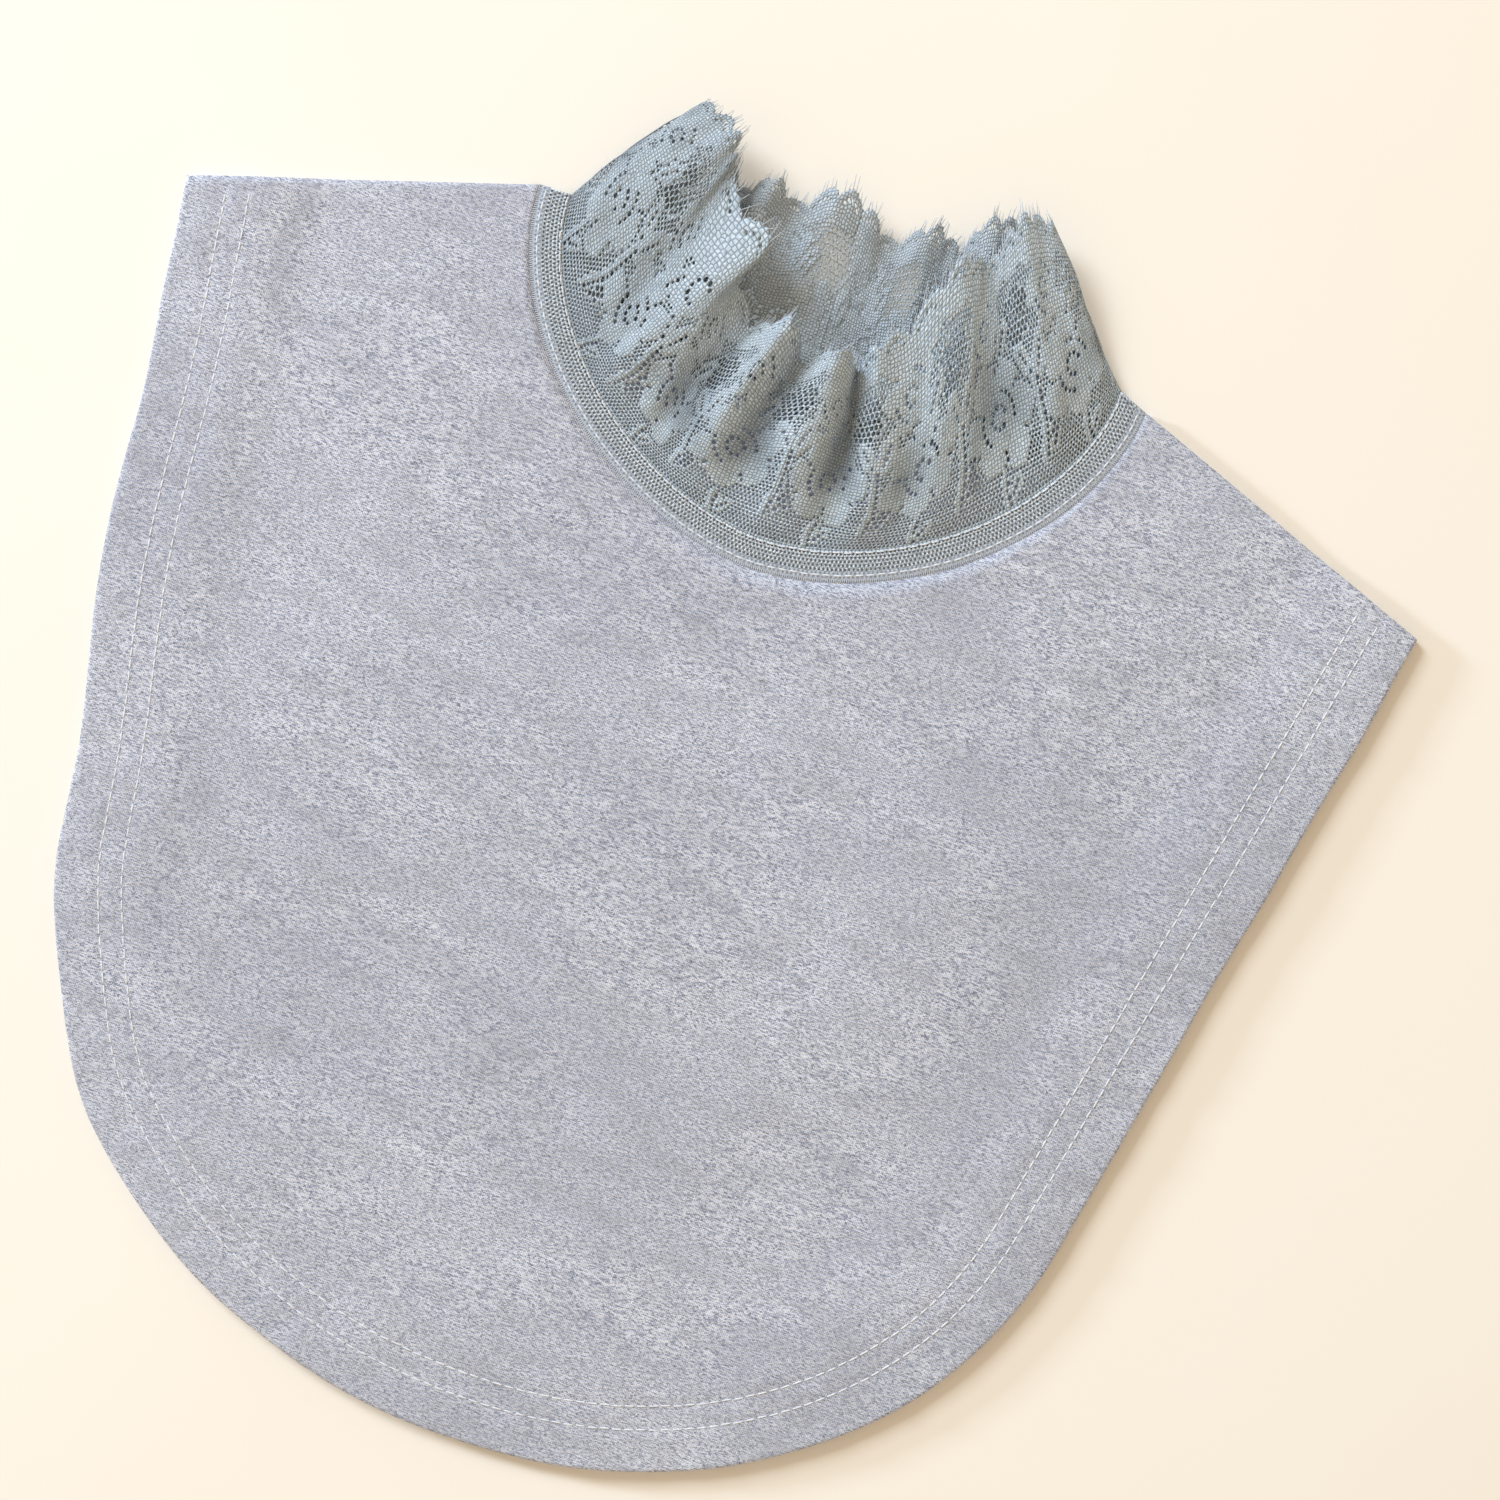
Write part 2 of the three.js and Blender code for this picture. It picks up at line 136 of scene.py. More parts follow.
def noise_at(points, scale, seed=0.0):
    """Smooth noise from about -1 to 1 at points in millimetres, one wave to each scale."""
    shape = points.shape[:-1]
    flat = points.reshape(-1, points.shape[-1]) / scale
    values = [noise.noise(Vector((p[0] + seed, p[1] - seed, seed * 0.7))) for p in flat]
    return np.array(values).reshape(shape)


class Track:
    """A line in the plane walked by its length, from 0 to 1, with its inner side on the left."""

    def __init__(self, points):
        self.points = np.array(points)
        steps = np.linalg.norm(np.diff(self.points, axis=0), axis=1)
        reach = np.concatenate([[0], np.cumsum(steps)])
        self.length = reach[-1]
        self.share = reach / reach[-1]

    def at(self, fraction):
        f = np.clip(fraction, 0, 1)
        x = np.interp(f, self.share, self.points[:, 0])
        y = np.interp(f, self.share, self.points[:, 1])
        return np.stack([x, y], -1)

    def along(self, fraction):
        return unit(self.at(fraction + 0.004) - self.at(fraction - 0.004))

    def inside(self, fraction, distance, lean=0.0):
        """Points off the line. lean carries them along it too, where the line ends."""
        way = self.along(fraction)
        left = np.stack([-way[..., 1], way[..., 0]], -1)
        shift = lean * smooth((fraction - 0.9) / 0.1)[..., None]
        return self.at(fraction) + (left + way * shift) * np.asarray(distance)[..., None]


def neckline(depth):
    share = np.linspace(0, 1, 1601)
    across = -np.cos(math.pi * share)
    down = np.sin(math.pi * share)
    x = NECK_HALF * np.sign(across) * np.abs(across) ** (2 / NECK_POWER)
    y = NECK_END_Y - depth * np.abs(down) ** (2 / NECK_POWER)
    return Track(np.stack([x, y], -1))


def hem_line():
    angle = np.linspace(0, math.pi / 2, 601)
    y = SIDE_END_Y - HEM_DEPTH * np.sin(angle) ** (2 / HEM_POWER)
    straight = SHOULDER_HALF - SIDE_LEAN * (SHOULDER_TIP_Y - y)
    x = -straight * np.maximum(np.cos(angle), 0) ** (2 / HEM_POWER)
    side = np.linspace(0, 1, 300, endpoint=False)[:, None]
    tip = np.array([[-SHOULDER_HALF, SHOULDER_TIP_Y]])
    low = np.stack([x, y], -1)
    left = np.concatenate([tip + side * (low[:1] - tip), low])
    right = left[::-1][1:] * [-1, 1]
    for y, half, out in LEFT_BOWS:
        far = np.minimum(1, ((left[:, 1] - y) / half) ** 2)
        left[:, 0] -= out * (1 - far) ** 2
    points = np.concatenate([left, right])
    points[:, 0] += HEM_SKEW * smooth((SIDE_END_Y - points[:, 1]) / HEM_DEPTH)
    return Track(points)


HEM = hem_line()
NECK = {side: neckline(depth) for side, depth in NECK_DEPTH.items()}
FOOT_LEAN = 0.34  # the foot of the lace runs on a little at its right end, along the neckline

# ---------- lace surface ----------


def fold_ring(columns):
    rows = np.concatenate([FOLDS["front"], FOLDS["back"][::-1]])
    return rows[:, columns]


MIDDLE_RING = fold_ring([1, 2, 3])
TOP_RING = fold_ring([4, 5, 6])
RING_SIZE = len(MIDDLE_RING)


def ring_point(ring, place):
    """A closed centripetal Catmull-Rom curve through the rows of the ring."""
    k = np.floor(place).astype(int)
    f = (place - k)[..., None]
    p0, p1, p2, p3 = (ring[(k + i) % RING_SIZE] for i in (-1, 0, 1, 2))
    pairs = ((p0, p1), (p1, p2), (p2, p3))
    d0, d1, d2 = (np.sqrt(np.linalg.norm(b - a, axis=-1, keepdims=True)) for a, b in pairs)
    start = ((p1 - p0) / d0 - (p2 - p0) / (d0 + d1) + (p2 - p1) / d1) * d1
    end = ((p2 - p1) / d1 - (p3 - p1) / (d1 + d2) + (p3 - p2) / d2) * d1
    bend = -3 * p1 + 3 * p2 - 2 * start - end
    return p1 + start * f + bend * f**2 + (2 * p1 - 2 * p2 + start + end) * f**3


def lace_point(side, u, t):
    u, t = np.broadcast_arrays(u, t)
    foot = NECK[side].inside(u, np.full(u.shape, BAND_END + SEAM_GAP), FOOT_LEAN)
    foot = np.concatenate([foot, np.full(u.shape + (1,), FOOT_Z[side])], -1)
    folds = FOLDS[side]
    place = np.interp(u, folds[:, 0], np.arange(len(folds)))
    if side == "back":
        place = RING_SIZE - 1 - place
    t = t[..., None]
    middle = ring_point(MIDDLE_RING, place)
    top = ring_point(TOP_RING, place)
    return foot * (1 - t) * (1 - 2 * t) + middle * 4 * t * (1 - t) + top * t * (2 * t - 1)


def lace_normal(side, u, t):
    u = np.clip(u, 0.003, 0.997)
    along = lace_point(side, u + 0.002, t) - lace_point(side, u - 0.002, t)
    out = lace_point(side, u, t + 0.01) - lace_point(side, u, t - 0.01)
    return unit(np.cross(along, out))


def edge_height(side, u):
    """Height of the scalloped edge above the foot, in millimetres along the cloth."""
    lobe = np.abs(np.sin(math.pi * SCALLOPS[side] * u)) ** 0.7
    return LACE_HEIGHT + SCALLOP_DEPTH * (lobe - 0.6)


# ---------- making pieces ----------


def piece(name, points, faces, material, uv=None, shades=None):
    """A mesh in the part's frame. uv: place on the flat cloth in mm. shades: named point values."""
    mesh = bpy.data.meshes.new(name)
    mesh.from_pydata((np.asarray(points) * MM).tolist(), [], faces)
    mesh.validate()
    if uv is not None:
        layer = mesh.uv_layers.new(name="cloth")
        corner = np.empty(len(mesh.loops), dtype=np.int32)
        mesh.loops.foreach_get("vertex_index", corner)
        layer.data.foreach_set("uv", (np.asarray(uv)[corner]).astype(np.float32).ravel())
    for key, values in (shades or {}).items():
        attribute = mesh.attributes.new(key, "FLOAT", "POINT")
        attribute.data.foreach_set("value", np.asarray(values, dtype=np.float32))
    mesh.polygons.foreach_set("use_smooth", np.ones(len(mesh.polygons), dtype=bool))
    mesh.update()
    thing = bpy.data.objects.new(name, mesh)
    bpy.context.scene.collection.objects.link(thing)
    mesh.materials.append(material)
    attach(thing, "root")
    return thing


def grid_faces(columns, rows, wrap=False):
    """Quads over points laid out column by column, optionally closed round the rows."""
    quads = []
    last = rows if wrap else rows - 1
    for i in range(columns - 1):
        for j in range(last):
            k = (j + 1) % rows
            quads.append((i * rows + j, (i + 1) * rows + j, (i + 1) * rows + k, i * rows + k))
    return quads


def capped_tube(columns, rows):
    """A closed skin round a strip: wrapped quads and a cap at each end."""
    first = tuple(range(rows))
    last = tuple((columns - 1) * rows + j for j in reversed(range(rows)))
    return grid_faces(columns, rows, wrap=True) + [first, last]


def shell_faces(triangles, size):
    """A thin closed shell: the triangles, their copy size points further on, and the rims."""
    directed = set()
    for a, b, c in triangles:
        directed.update(((a, b), (b, c), (c, a)))
    faces = [tuple(t) for t in triangles]
    faces += [(c + size, b + size, a + size) for a, b, c in triangles]
    faces += [(b, a, a + size, b + size) for a, b in directed if (b, a) not in directed]
    return faces


class Bits:
    """Many small closed shapes gathered into one mesh."""

    def __init__(self):
        self.points = []
        self.faces = []

    def close(self, first, rings, sides):
        """Faces of a tube through the rings of points from number first on, with both ends capped."""
        for r in range(rings - 1):
            for i in range(sides):
                j = (i + 1) % sides
                a, b = first + r * sides, first + (r + 1) * sides
                self.faces.append((a + i, a + j, b + j, b + i))
        self.faces.append(tuple(first + i for i in reversed(range(sides))))
        self.faces.append(tuple(first + (rings - 1) * sides + i for i in range(sides)))

    def capsule(self, start, end, radius, up, sides=6, flatten=0.75):
        """A stitch: a rounded bead from start to end."""
        way = unit(end - start)
        across = unit(np.cross(way, up))
        rise = np.cross(across, way)
        first = len(self.points)
        rings = [(0.0, 0.45), (0.14, 0.9), (0.5, 1.08), (0.86, 0.9), (1.0, 0.45)]
        for share, swell in rings:
            centre = start + (end - start) * share
            for i in range(sides):
                angle = 2 * math.pi * i / sides
                offset = across * math.cos(angle) + rise * math.sin(angle) * flatten
                self.points.append(centre + offset * radius * swell)
        self.close(first, len(rings), sides)

    def hair(self, path, radius):
        """A thin three-sided thread that narrows along its path."""
        sides = 3
        first = len(self.points)
        count = len(path)
        for k, centre in enumerate(path):
            way = unit(path[min(k + 1, count - 1)] - path[max(k - 1, 0)])
            across = unit(np.cross(way, (0.31, -0.22, 0.92)))
            rise = np.cross(across, way)
            width = radius * (1 - 0.6 * k / (count - 1))
            for i in range(sides):
                angle = 2 * math.pi * i / sides
                self.points.append(centre + (across * math.cos(angle) + rise * math.sin(angle)) * width)
        self.close(first, count, sides)


# ---------- materials ----------

KNIT_PITCH = 1.2  # of the loops in the closed work of the lace
BAND_PITCH = 1.25  # of the net at the foot of the lace and of the dots in the seam tape


class Nodes:
    """Short hand for building a node tree."""

    def __init__(self, name):
        self.material = bpy.data.materials.new(name)
        self.material.use_nodes = True
        self.tree = self.material.node_tree
        self.shader = self.tree.nodes["Principled BSDF"]

    def add(self, kind, inputs=None, **settings):
        node = self.tree.nodes.new(kind)
        for key, value in settings.items():
            setattr(node, key, value)
        for key, value in (inputs or {}).items():
            self.plug(node.inputs[key], value)
        return node

    def plug(self, socket, value):
        if isinstance(value, bpy.types.NodeSocket):
            self.tree.links.new(value, socket)
        else:
            socket.default_value = value

    def math(self, operation, *values, clamp=False):
        node = self.add("ShaderNodeMath", operation=operation, use_clamp=clamp)
        for socket, value in zip(node.inputs, values):
            self.plug(socket, value)
        return node.outputs[0]

    def stretch(self, vector, scale, offset=(0, 0, 0)):
        node = self.add("ShaderNodeMapping", {"Vector": vector, "Scale": scale, "Location": offset})
        return node.outputs["Vector"]

    def noise(self, vector, scale=1.0, detail=2.0, roughness=0.5):
        inputs = {"Vector": vector, "Scale": scale, "Detail": detail, "Roughness": roughness}
        return self.add("ShaderNodeTexNoise", inputs).outputs["Fac"]

    def ramp(self, value, low, high, to_low=0.0, to_high=1.0):
        inputs = {"Value": value, "From Min": low, "From Max": high, "To Min": to_low, "To Max": to_high}
        return self.add("ShaderNodeMapRange", inputs, clamp=True).outputs["Result"]

    def mix(self, factor, first, second, blend="MIX"):
        node = self.add("ShaderNodeMix", data_type="RGBA", blend_type=blend)
        self.plug(node.inputs[0], factor)
        self.plug(node.inputs[6], first)
        self.plug(node.inputs[7], second)
        return node.outputs[2]

    def grain(self, place, across, along, offset=(0, 0, 0), detail=1.0, roughness=0.5):
        """Noise with so many waves to the millimetre across and along the cloth."""
        return self.noise(self.stretch(place, (across, along, 1), offset), 1.0, detail, roughness)

    def bands(self, place, direction, scale, distortion, detail_scale):
        inputs = {"Vector": place, "Scale": scale, "Distortion": distortion, "Detail": 1.0,
                  "Detail Scale": detail_scale}
        settings = {"wave_type": "BANDS", "bands_direction": direction}
        return self.add("ShaderNodeTexWave", inputs, **settings).outputs["Fac"]

    def net_dots(self, flat, pitch, radius):
        """A triangular lattice of round dots: 1 inside a dot, 0 between them."""
        tall = 2 * ROW_RISE
        near = []
        for shift in (0.0, 0.5):
            cells = self.stretch(flat, (1 / pitch, 1 / (tall * pitch), 1), (shift, shift, 0))
            ends = self.add("ShaderNodeSeparateXYZ", {"Vector": cells}).outputs
            across = self.math("SUBTRACT", self.math("FRACT", ends["X"]), 0.5)
            up = self.math("MULTIPLY", self.math("SUBTRACT", self.math("FRACT", ends["Y"]), 0.5), tall)
            squares = self.math("ADD", self.math("POWER", across, 2), self.math("POWER", up, 2))
            near.append(self.math("SQRT", squares))
        reach = radius / pitch
        return self.ramp(self.math("MINIMUM", *near), 0.7 * reach, 1.2 * reach, 1.0, 0.0)

    def shade(self, name):
        return self.add("ShaderNodeAttribute", attribute_name=name).outputs["Fac"]

    def bump(self, height, strength, distance):
        inputs = {"Height": height, "Strength": strength, "Distance": distance}
        self.plug(self.shader.inputs["Normal"], self.add("ShaderNodeBump", inputs).outputs["Normal"])

    def finish(self, color, roughness=0.85, sheen=0.0):
        self.plug(self.shader.inputs["Base Color"], color)
        self.plug(self.shader.inputs["Roughness"], roughness)
        self.shader.inputs["Specular IOR Level"].default_value = 0.25
        self.shader.inputs["Sheen Weight"].default_value = sheen
        self.shader.inputs["Sheen Roughness"].default_value = 0.5
        return self.material


def linear(*rgb):
    """sRGB values from 0 to 255 as a linear colour."""
    channels = [(c / 255) / 12.92 if c < 11 else ((c / 255 + 0.055) / 1.055) ** 2.4 for c in rgb]
    return (*channels, 1.0)


def jersey_material():
    """Heather yarn: short slubs with dark flecks and pale specks, and broad faint clouds."""
    n = Nodes("heather_jersey")
    place = n.add("ShaderNodeTexCoord").outputs["Object"]
    mm = n.stretch(place, (1000, 1000, 1000))
    slub = n.grain(mm, 0.5, 2.6)
    flecks = n.grain(mm, 1.2, 2.9, (31, 7, 3))
    cloud = n.grain(mm, 0.045, 0.16, (0, 0, 0), 4.0, 0.62)
    speck = n.grain(mm, 1.6, 3.2, (5, 61, 3))
    color = n.mix(n.ramp(slub, 0.38, 0.62), linear(164, 170, 189), linear(232, 236, 249))
    color = n.mix(n.ramp(flecks, 0.55, 0.65, 0.0, 0.85), color, linear(104, 109, 129))
    color = n.mix(n.ramp(speck, 0.55, 0.65, 0.0, 0.85), color, linear(244, 246, 253))
    color = n.mix(n.ramp(cloud, 0.42, 0.66, 0.0, 0.34), color, linear(168, 170, 179))
    broad = n.grain(mm, 0.011, 0.018, (2, 6, 0), 2.0)
    color = n.mix(n.ramp(broad, 0.4, 0.62, 0.0, 0.24), color, linear(150, 154, 170))
    wales = n.bands(mm, "X", 0.62, 1.2, 1.5)
    courses = n.bands(mm, "Y", 0.7, 1.5, 1.2)
    height = n.math("ADD", n.math("MULTIPLY", wales, 0.35), n.math("MULTIPLY", courses, 0.3))
    height = n.math("ADD", height, n.math("MULTIPLY", slub, 0.9))
    n.bump(height, 0.6, 0.0003)
    return n.finish(color, 0.95, 0.1)


def lace_material(name, net, light):
    """Lace cloth in its net and closed work colours, with painted shade between its loops and painted
    glints on them. Its meshes give two values: cloth is 1 in the closed work and 0 in the net, and
    deep is the share of painted shade, most down between the folds."""
    n = Nodes(name)
    flat = n.add("ShaderNodeUVMap", uv_map="cloth").outputs["UV"]
    dark = linear(78, 88, 100)
    knit = n.stretch(flat, (1 / KNIT_PITCH, 1.2 / KNIT_PITCH, 1))
    loops = n.add("ShaderNodeTexVoronoi", {"Vector": knit, "Scale": 1.0, "Randomness": 0.42},
                  feature="DISTANCE_TO_EDGE").outputs["Distance"]
    glints = n.grain(flat, 1.1, 2.1, (17, 3, 0), 2.0, 0.6)
    patches = n.grain(flat, 0.16, 0.22, (4, 9, 0), 2.0, 0.55)
    worked = n.shade("cloth")
    creases = n.ramp(loops, 0.0, 0.17, 1.0, 0.0)
    color = n.mix(n.ramp(worked, 0.0, 0.5), net, light)
    # Painted shade in the creases between the loops of the closed work.
    color = n.mix(n.math("MULTIPLY", creases, n.ramp(worked, 0.1, 0.9, 0.0, 0.7)), color, dark)
    # Painted glints: a painted highlight on the loops of the closed work.
    shine = n.math("MULTIPLY", n.ramp(glints, 0.46, 0.58), n.ramp(worked, 0.0, 1.0))
    color = n.mix(n.math("MULTIPLY", shine, n.ramp(loops, 0.06, 0.2)), color, linear(232, 242, 249))
    color = n.mix(n.ramp(patches, 0.45, 0.65, 0.0, 0.12), color, dark)
    # Painted shade where deep is high: down between the folds and on the fold at the left end.
    color = n.mix(n.math("MULTIPLY", n.shade("deep"), 0.55), color, dark)
    height = n.math("ADD", n.math("MULTIPLY", glints, 0.4), n.ramp(loops, 0.0, 0.35))
    n.bump(height, 0.85, 0.0003)
    return n.finish(color, 0.55, 0.1)


def thread_material(name, color, dark):
    n = Nodes(name)
    place = n.stretch(n.add("ShaderNodeTexCoord").outputs["Object"], (1000, 1000, 1000))
    twist = n.noise(n.stretch(place, (2.2, 2.2, 2.2)), 1.0, 2.0, 0.6)
    n.bump(twist, 0.4, 0.0002)
    return n.finish(n.mix(n.ramp(twist, 0.3, 0.7), dark, color), 0.6, 0.2)


def tape_material():
    n = Nodes("seam_tape")
    flat = n.add("ShaderNodeUVMap", uv_map="cloth").outputs["UV"]
    dots = n.net_dots(flat, BAND_PITCH, 0.34)
    grain = n.grain(flat, 1.1, 1.6, (0, 0, 0), 2.0, 0.65)
    color = n.mix(n.ramp(grain, 0.36, 0.64), linear(162, 171, 184), linear(206, 215, 228))
    # The holes of the folded net are painted as dark dots, a painted shade for the depth seen in them.
    color = n.mix(n.math("MULTIPLY", dots, 0.6), color, linear(98, 105, 118))
    n.bump(n.math("SUBTRACT", n.math("MULTIPLY", grain, 0.8), dots), 0.5, 0.0002)
    return n.finish(color, 0.85, 0.1)


def lining_material():
    """The turned edge under the net, seen through its holes; its grey is darker than the net's as painted
    shade.
    """
    n = Nodes("net_lining")
    flat = n.add("ShaderNodeUVMap", uv_map="cloth").outputs["UV"]
    grain = n.grain(flat, 1.1, 1.8, (0, 0, 0), 3.0, 0.65)
    n.bump(grain, 0.4, 0.0002)
    return n.finish(n.mix(n.ramp(grain, 0.35, 0.65), linear(134, 140, 150), linear(178, 184, 194)), 0.9)


def floor_material():
    n = Nodes("pale_floor")
    place = n.add("ShaderNodeTexCoord").outputs["Object"]
    cloud = n.noise(place, 6.0, 3.0, 0.55)
    color = n.mix(n.ramp(cloud, 0.35, 0.65), linear(249, 239, 225), linear(250, 241, 228))
    n.bump(n.noise(place, 900.0, 2.0, 0.5), 0.03, 0.0002)
    return n.finish(color, 0.85)


JERSEY_CLOTH = jersey_material()
# The back wall's net is given a darker colour than the front's: painted shade for the dark seen through its
# holes.
LACE_CLOTH = {
    "front": lace_material("lace", linear(224, 235, 248), linear(196, 211, 221)),
    "back": lace_material("lace_inside", linear(140, 151, 162), linear(206, 219, 229)),
}
BAND_CLOTH = lace_material("net", linear(238, 246, 255), linear(210, 221, 232))
TAPE_CLOTH = tape_material()
LINING_CLOTH = lining_material()
WHITE_THREAD = thread_material("pale_thread", linear(250, 252, 255), linear(222, 227, 235))
EDGE_THREAD = thread_material("edge_thread", linear(206, 212, 222), linear(160, 166, 177))
LASH_THREAD = thread_material("lash_thread", linear(236, 242, 249), linear(190, 198, 208))

# ---------- jersey panels ----------

EDGE_ROUND = 0.9
STITCH_ROWS = (12.0, 18.6)  # from the free edge
HEM_SOFTEN = 32.0  # the step of the turned hem fades out over this width
EDGE_STRIP = 21.5  # width of the rows that keep an even distance to the free edge
ACROSS = 120  # about how far it is from that strip to the neckline
DEEPEST = -0.2  # the crinkles go no deeper than this into the panel


def front_rise(place):
    rise = np.zeros(place.shape[:-1])
    for x, y, across_x, across_y, height in FRONT_RISES:
        far = ((place[..., 0] - x) / across_x) ** 2 + ((place[..., 1] - y) / across_y) ** 2
        rise += np.where(far < 1, height * (1 - np.minimum(far, 1)) ** 2, 0)
    return rise


def panel_place(side, u, from_edge, cloth):
    """Plan of a panel. Rows near the free edge keep an even distance to it, the others run
    towards the neckline. cloth goes from 0 at the turned hem to 1 at the neckline."""
    edge = HEM.at(u)
    inner = NECK[side].inside(u, np.full(u.shape, -SEAM_GAP))
    way = HEM.along(u)
    square = np.stack([-way[..., 1], way[..., 0]], -1)
    shoulder = unit(inner - edge)
    reach = np.minimum(u, 1 - u) * HEM.length
    share = smooth(reach / 45)[..., None]
    way_in = unit(shoulder * (1 - share) + square * share)
    way_in = way_in / np.maximum(0.5, np.sum(way_in * square, -1, keepdims=True))
    near = edge + way_in * from_edge[..., None]
    return near + (inner - near) * cloth[..., None]


def crease(place):
    """Soft unevenness of the laid-out jersey, in millimetres."""
    return 0.8 * noise_at(place, 52.0, 3.1) + 0.28 * noise_at(place, 19.0, 9.4)


def hem_ripple(place, from_edge):
    """The seams of the hem draw the cloth in a little."""
    rows = sum(np.exp(-(((from_edge - row) / 0.8) ** 2)) for row in STITCH_ROWS)
    puff = noise_at(place, 8.0, 5.5) * smooth((26 - from_edge) / 8)
    return -0.22 * rows + 0.34 * puff


def neck_pleats(u, to_neck):
    """Small pleats that the neck seam gathers in the front."""
    waves = np.stack([u * NECK["front"].length, to_neck * 0.15], -1)
    return 0.45 * noise_at(waves, 11.0, 8.2) * np.exp(-to_neck / 26)


def front_bottom(place, in_hem, soft):
    """Height of the front panel's under side, with its crinkles kept out of the back panel."""
    return PANEL_UNDER["front"] + HEM_RISE * in_hem + front_rise(place) + np.maximum(soft, DEEPEST)


def jersey_panel(side):
    """A panel as one closed skin: under side, rounded free edge and upper side, column by column."""
    columns = 421
    top_edge = [EDGE_ROUND, 1.6, 2.6, 4, 6, 8, 10, 11.4, 12.4, 13.4, 15, 17, 18.3, 19.2, 20.1, 21.5]
    cloth_rows = np.linspace(0, 1, 44 if side == "front" else 24)[1:]
    profile = []
    for angle in (-67, -40, -14, 14, 40, 67):
        profile.append((EDGE_ROUND * (1 - math.cos(math.radians(angle))), 0.0, math.sin(math.radians(angle))))
    rows = [(e, 0.0, -1.0) for e in reversed(top_edge[::3])]
    rows = [(EDGE_STRIP, c, -1.0) for c in cloth_rows[::-1][::3]] + rows + profile
    rows += [(e, 0.0, 1.0) for e in top_edge]
    rows += [(EDGE_STRIP, c, 1.0) for c in cloth_rows]
    rows = np.array(rows)
    shape = (columns, len(rows))
    u = np.broadcast_to(np.linspace(0, 1, columns)[:, None], shape)
    from_edge = np.broadcast_to(rows[:, 0], shape)
    cloth = np.broadcast_to(rows[:, 1], shape)
    face = np.broadcast_to(rows[:, 2], shape)
    place = panel_place(side, u, from_edge, cloth)
    wander = noise_at(np.stack([u * HEM.length, u * 0], -1), 38.0, 2.2)
    edge_way = HEM.along(u)
    inward = np.stack([-edge_way[..., 1], edge_way[..., 0]], -1)
    hem_share = np.exp(-from_edge / 12) * (1 - cloth)
    place = place + inward * (wander * hem_share * 0.9)[..., None]
    depth = from_edge + cloth * ACROSS
    in_hem = smooth((HEM_WIDTH + HEM_SOFTEN - depth) / HEM_SOFTEN)
    if side == "front":
        neck_gap = (1 - cloth) * 130
        soft = crease(place) * smooth(from_edge / 14) + hem_ripple(place, depth)
        soft += neck_pleats(u, neck_gap)
        soft *= smooth((neck_gap + 4) / 16) * 0.85 + 0.15
        bottom = front_bottom(place, in_hem, soft)
        thick = JERSEY + HEM_RISE * in_hem
        shoulder_tuck = np.exp(-np.minimum(u, 1 - u) * HEM.length / 1.4)
        tuck = np.where(face > 0, shoulder_tuck * thick * 0.35, 0)
    else:
        bottom = np.zeros(shape)
        thick = JERSEY + HEM_RISE * in_hem * smooth((21 - depth) / 1.2)
        tuck = np.zeros(shape)
    height = bottom + thick / 2 + face * thick / 2 - tuck
    points = np.concatenate([place, height[..., None]], -1).reshape(-1, 3)
    faces = capped_tube(columns, len(rows))
    thing = piece(f"jersey_{side}", points, faces, JERSEY_CLOTH)
    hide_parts(f"{side}_panel")
    return thing


front_jersey = jersey_panel("front")
back_jersey = jersey_panel("back")


def hem_top(u, from_edge):
    """Points along the front hem's upper face, an even distance from its free edge."""
    e = np.full(u.shape, from_edge)
    place = panel_place("front", u, e, np.zeros(u.shape))
    in_hem = smooth((HEM_WIDTH + HEM_SOFTEN - e) / HEM_SOFTEN)
    soft = crease(place) * smooth(e / 14) + hem_ripple(place, e)
    height = front_bottom(place, in_hem, soft) + JERSEY + HEM_RISE * in_hem
    return np.concatenate([place, height[..., None]], -1)


# ---------- sewing ----------


UP = np.array([0.0, 0.0, 1.0])
STITCH_WOBBLE = 0.06


def dashes(bits, line, stitch, pause, radius):
    """Stitches along a line of points, each one a bead that narrows at both ends."""
    steps = np.linalg.norm(np.diff(line, axis=0), axis=1)
    reach = np.concatenate([[0], np.cumsum(steps)])
    start = pause
    while start + stitch < reach[-1]:
        ends = []
        for goal in (start, start + stitch):
            ends.append(np.array([np.interp(goal, reach, line[:, k]) for k in range(3)]))
        side_way = unit(np.cross(ends[1] - ends[0], UP))
        shift = side_way * RNG.normal(0, STITCH_WOBBLE)
        bits.capsule(ends[0] + shift, ends[1] + shift, radius, UP)
        start += stitch + pause


hem_stitches = Bits()
for row in STITCH_ROWS:
    line = hem_top(np.linspace(0.006, 0.994, 1400), row) + [0, 0, 0.08]
    dashes(hem_stitches, line, 2.7, 0.7, 0.23)
HEM_STITCHES = piece("hem_stitches", hem_stitches.points, hem_stitches.faces, WHITE_THREAD)


def tape_line(offset, height):
    """A line along the front neckline, offset from it towards the neck."""
    u = np.linspace(0.002, 0.998, 1200)
    plan = NECK["front"].inside(u, np.full(u.shape, offset), FOOT_LEAN)
    return np.concatenate([plan, np.full((len(u), 1), height)], -1)


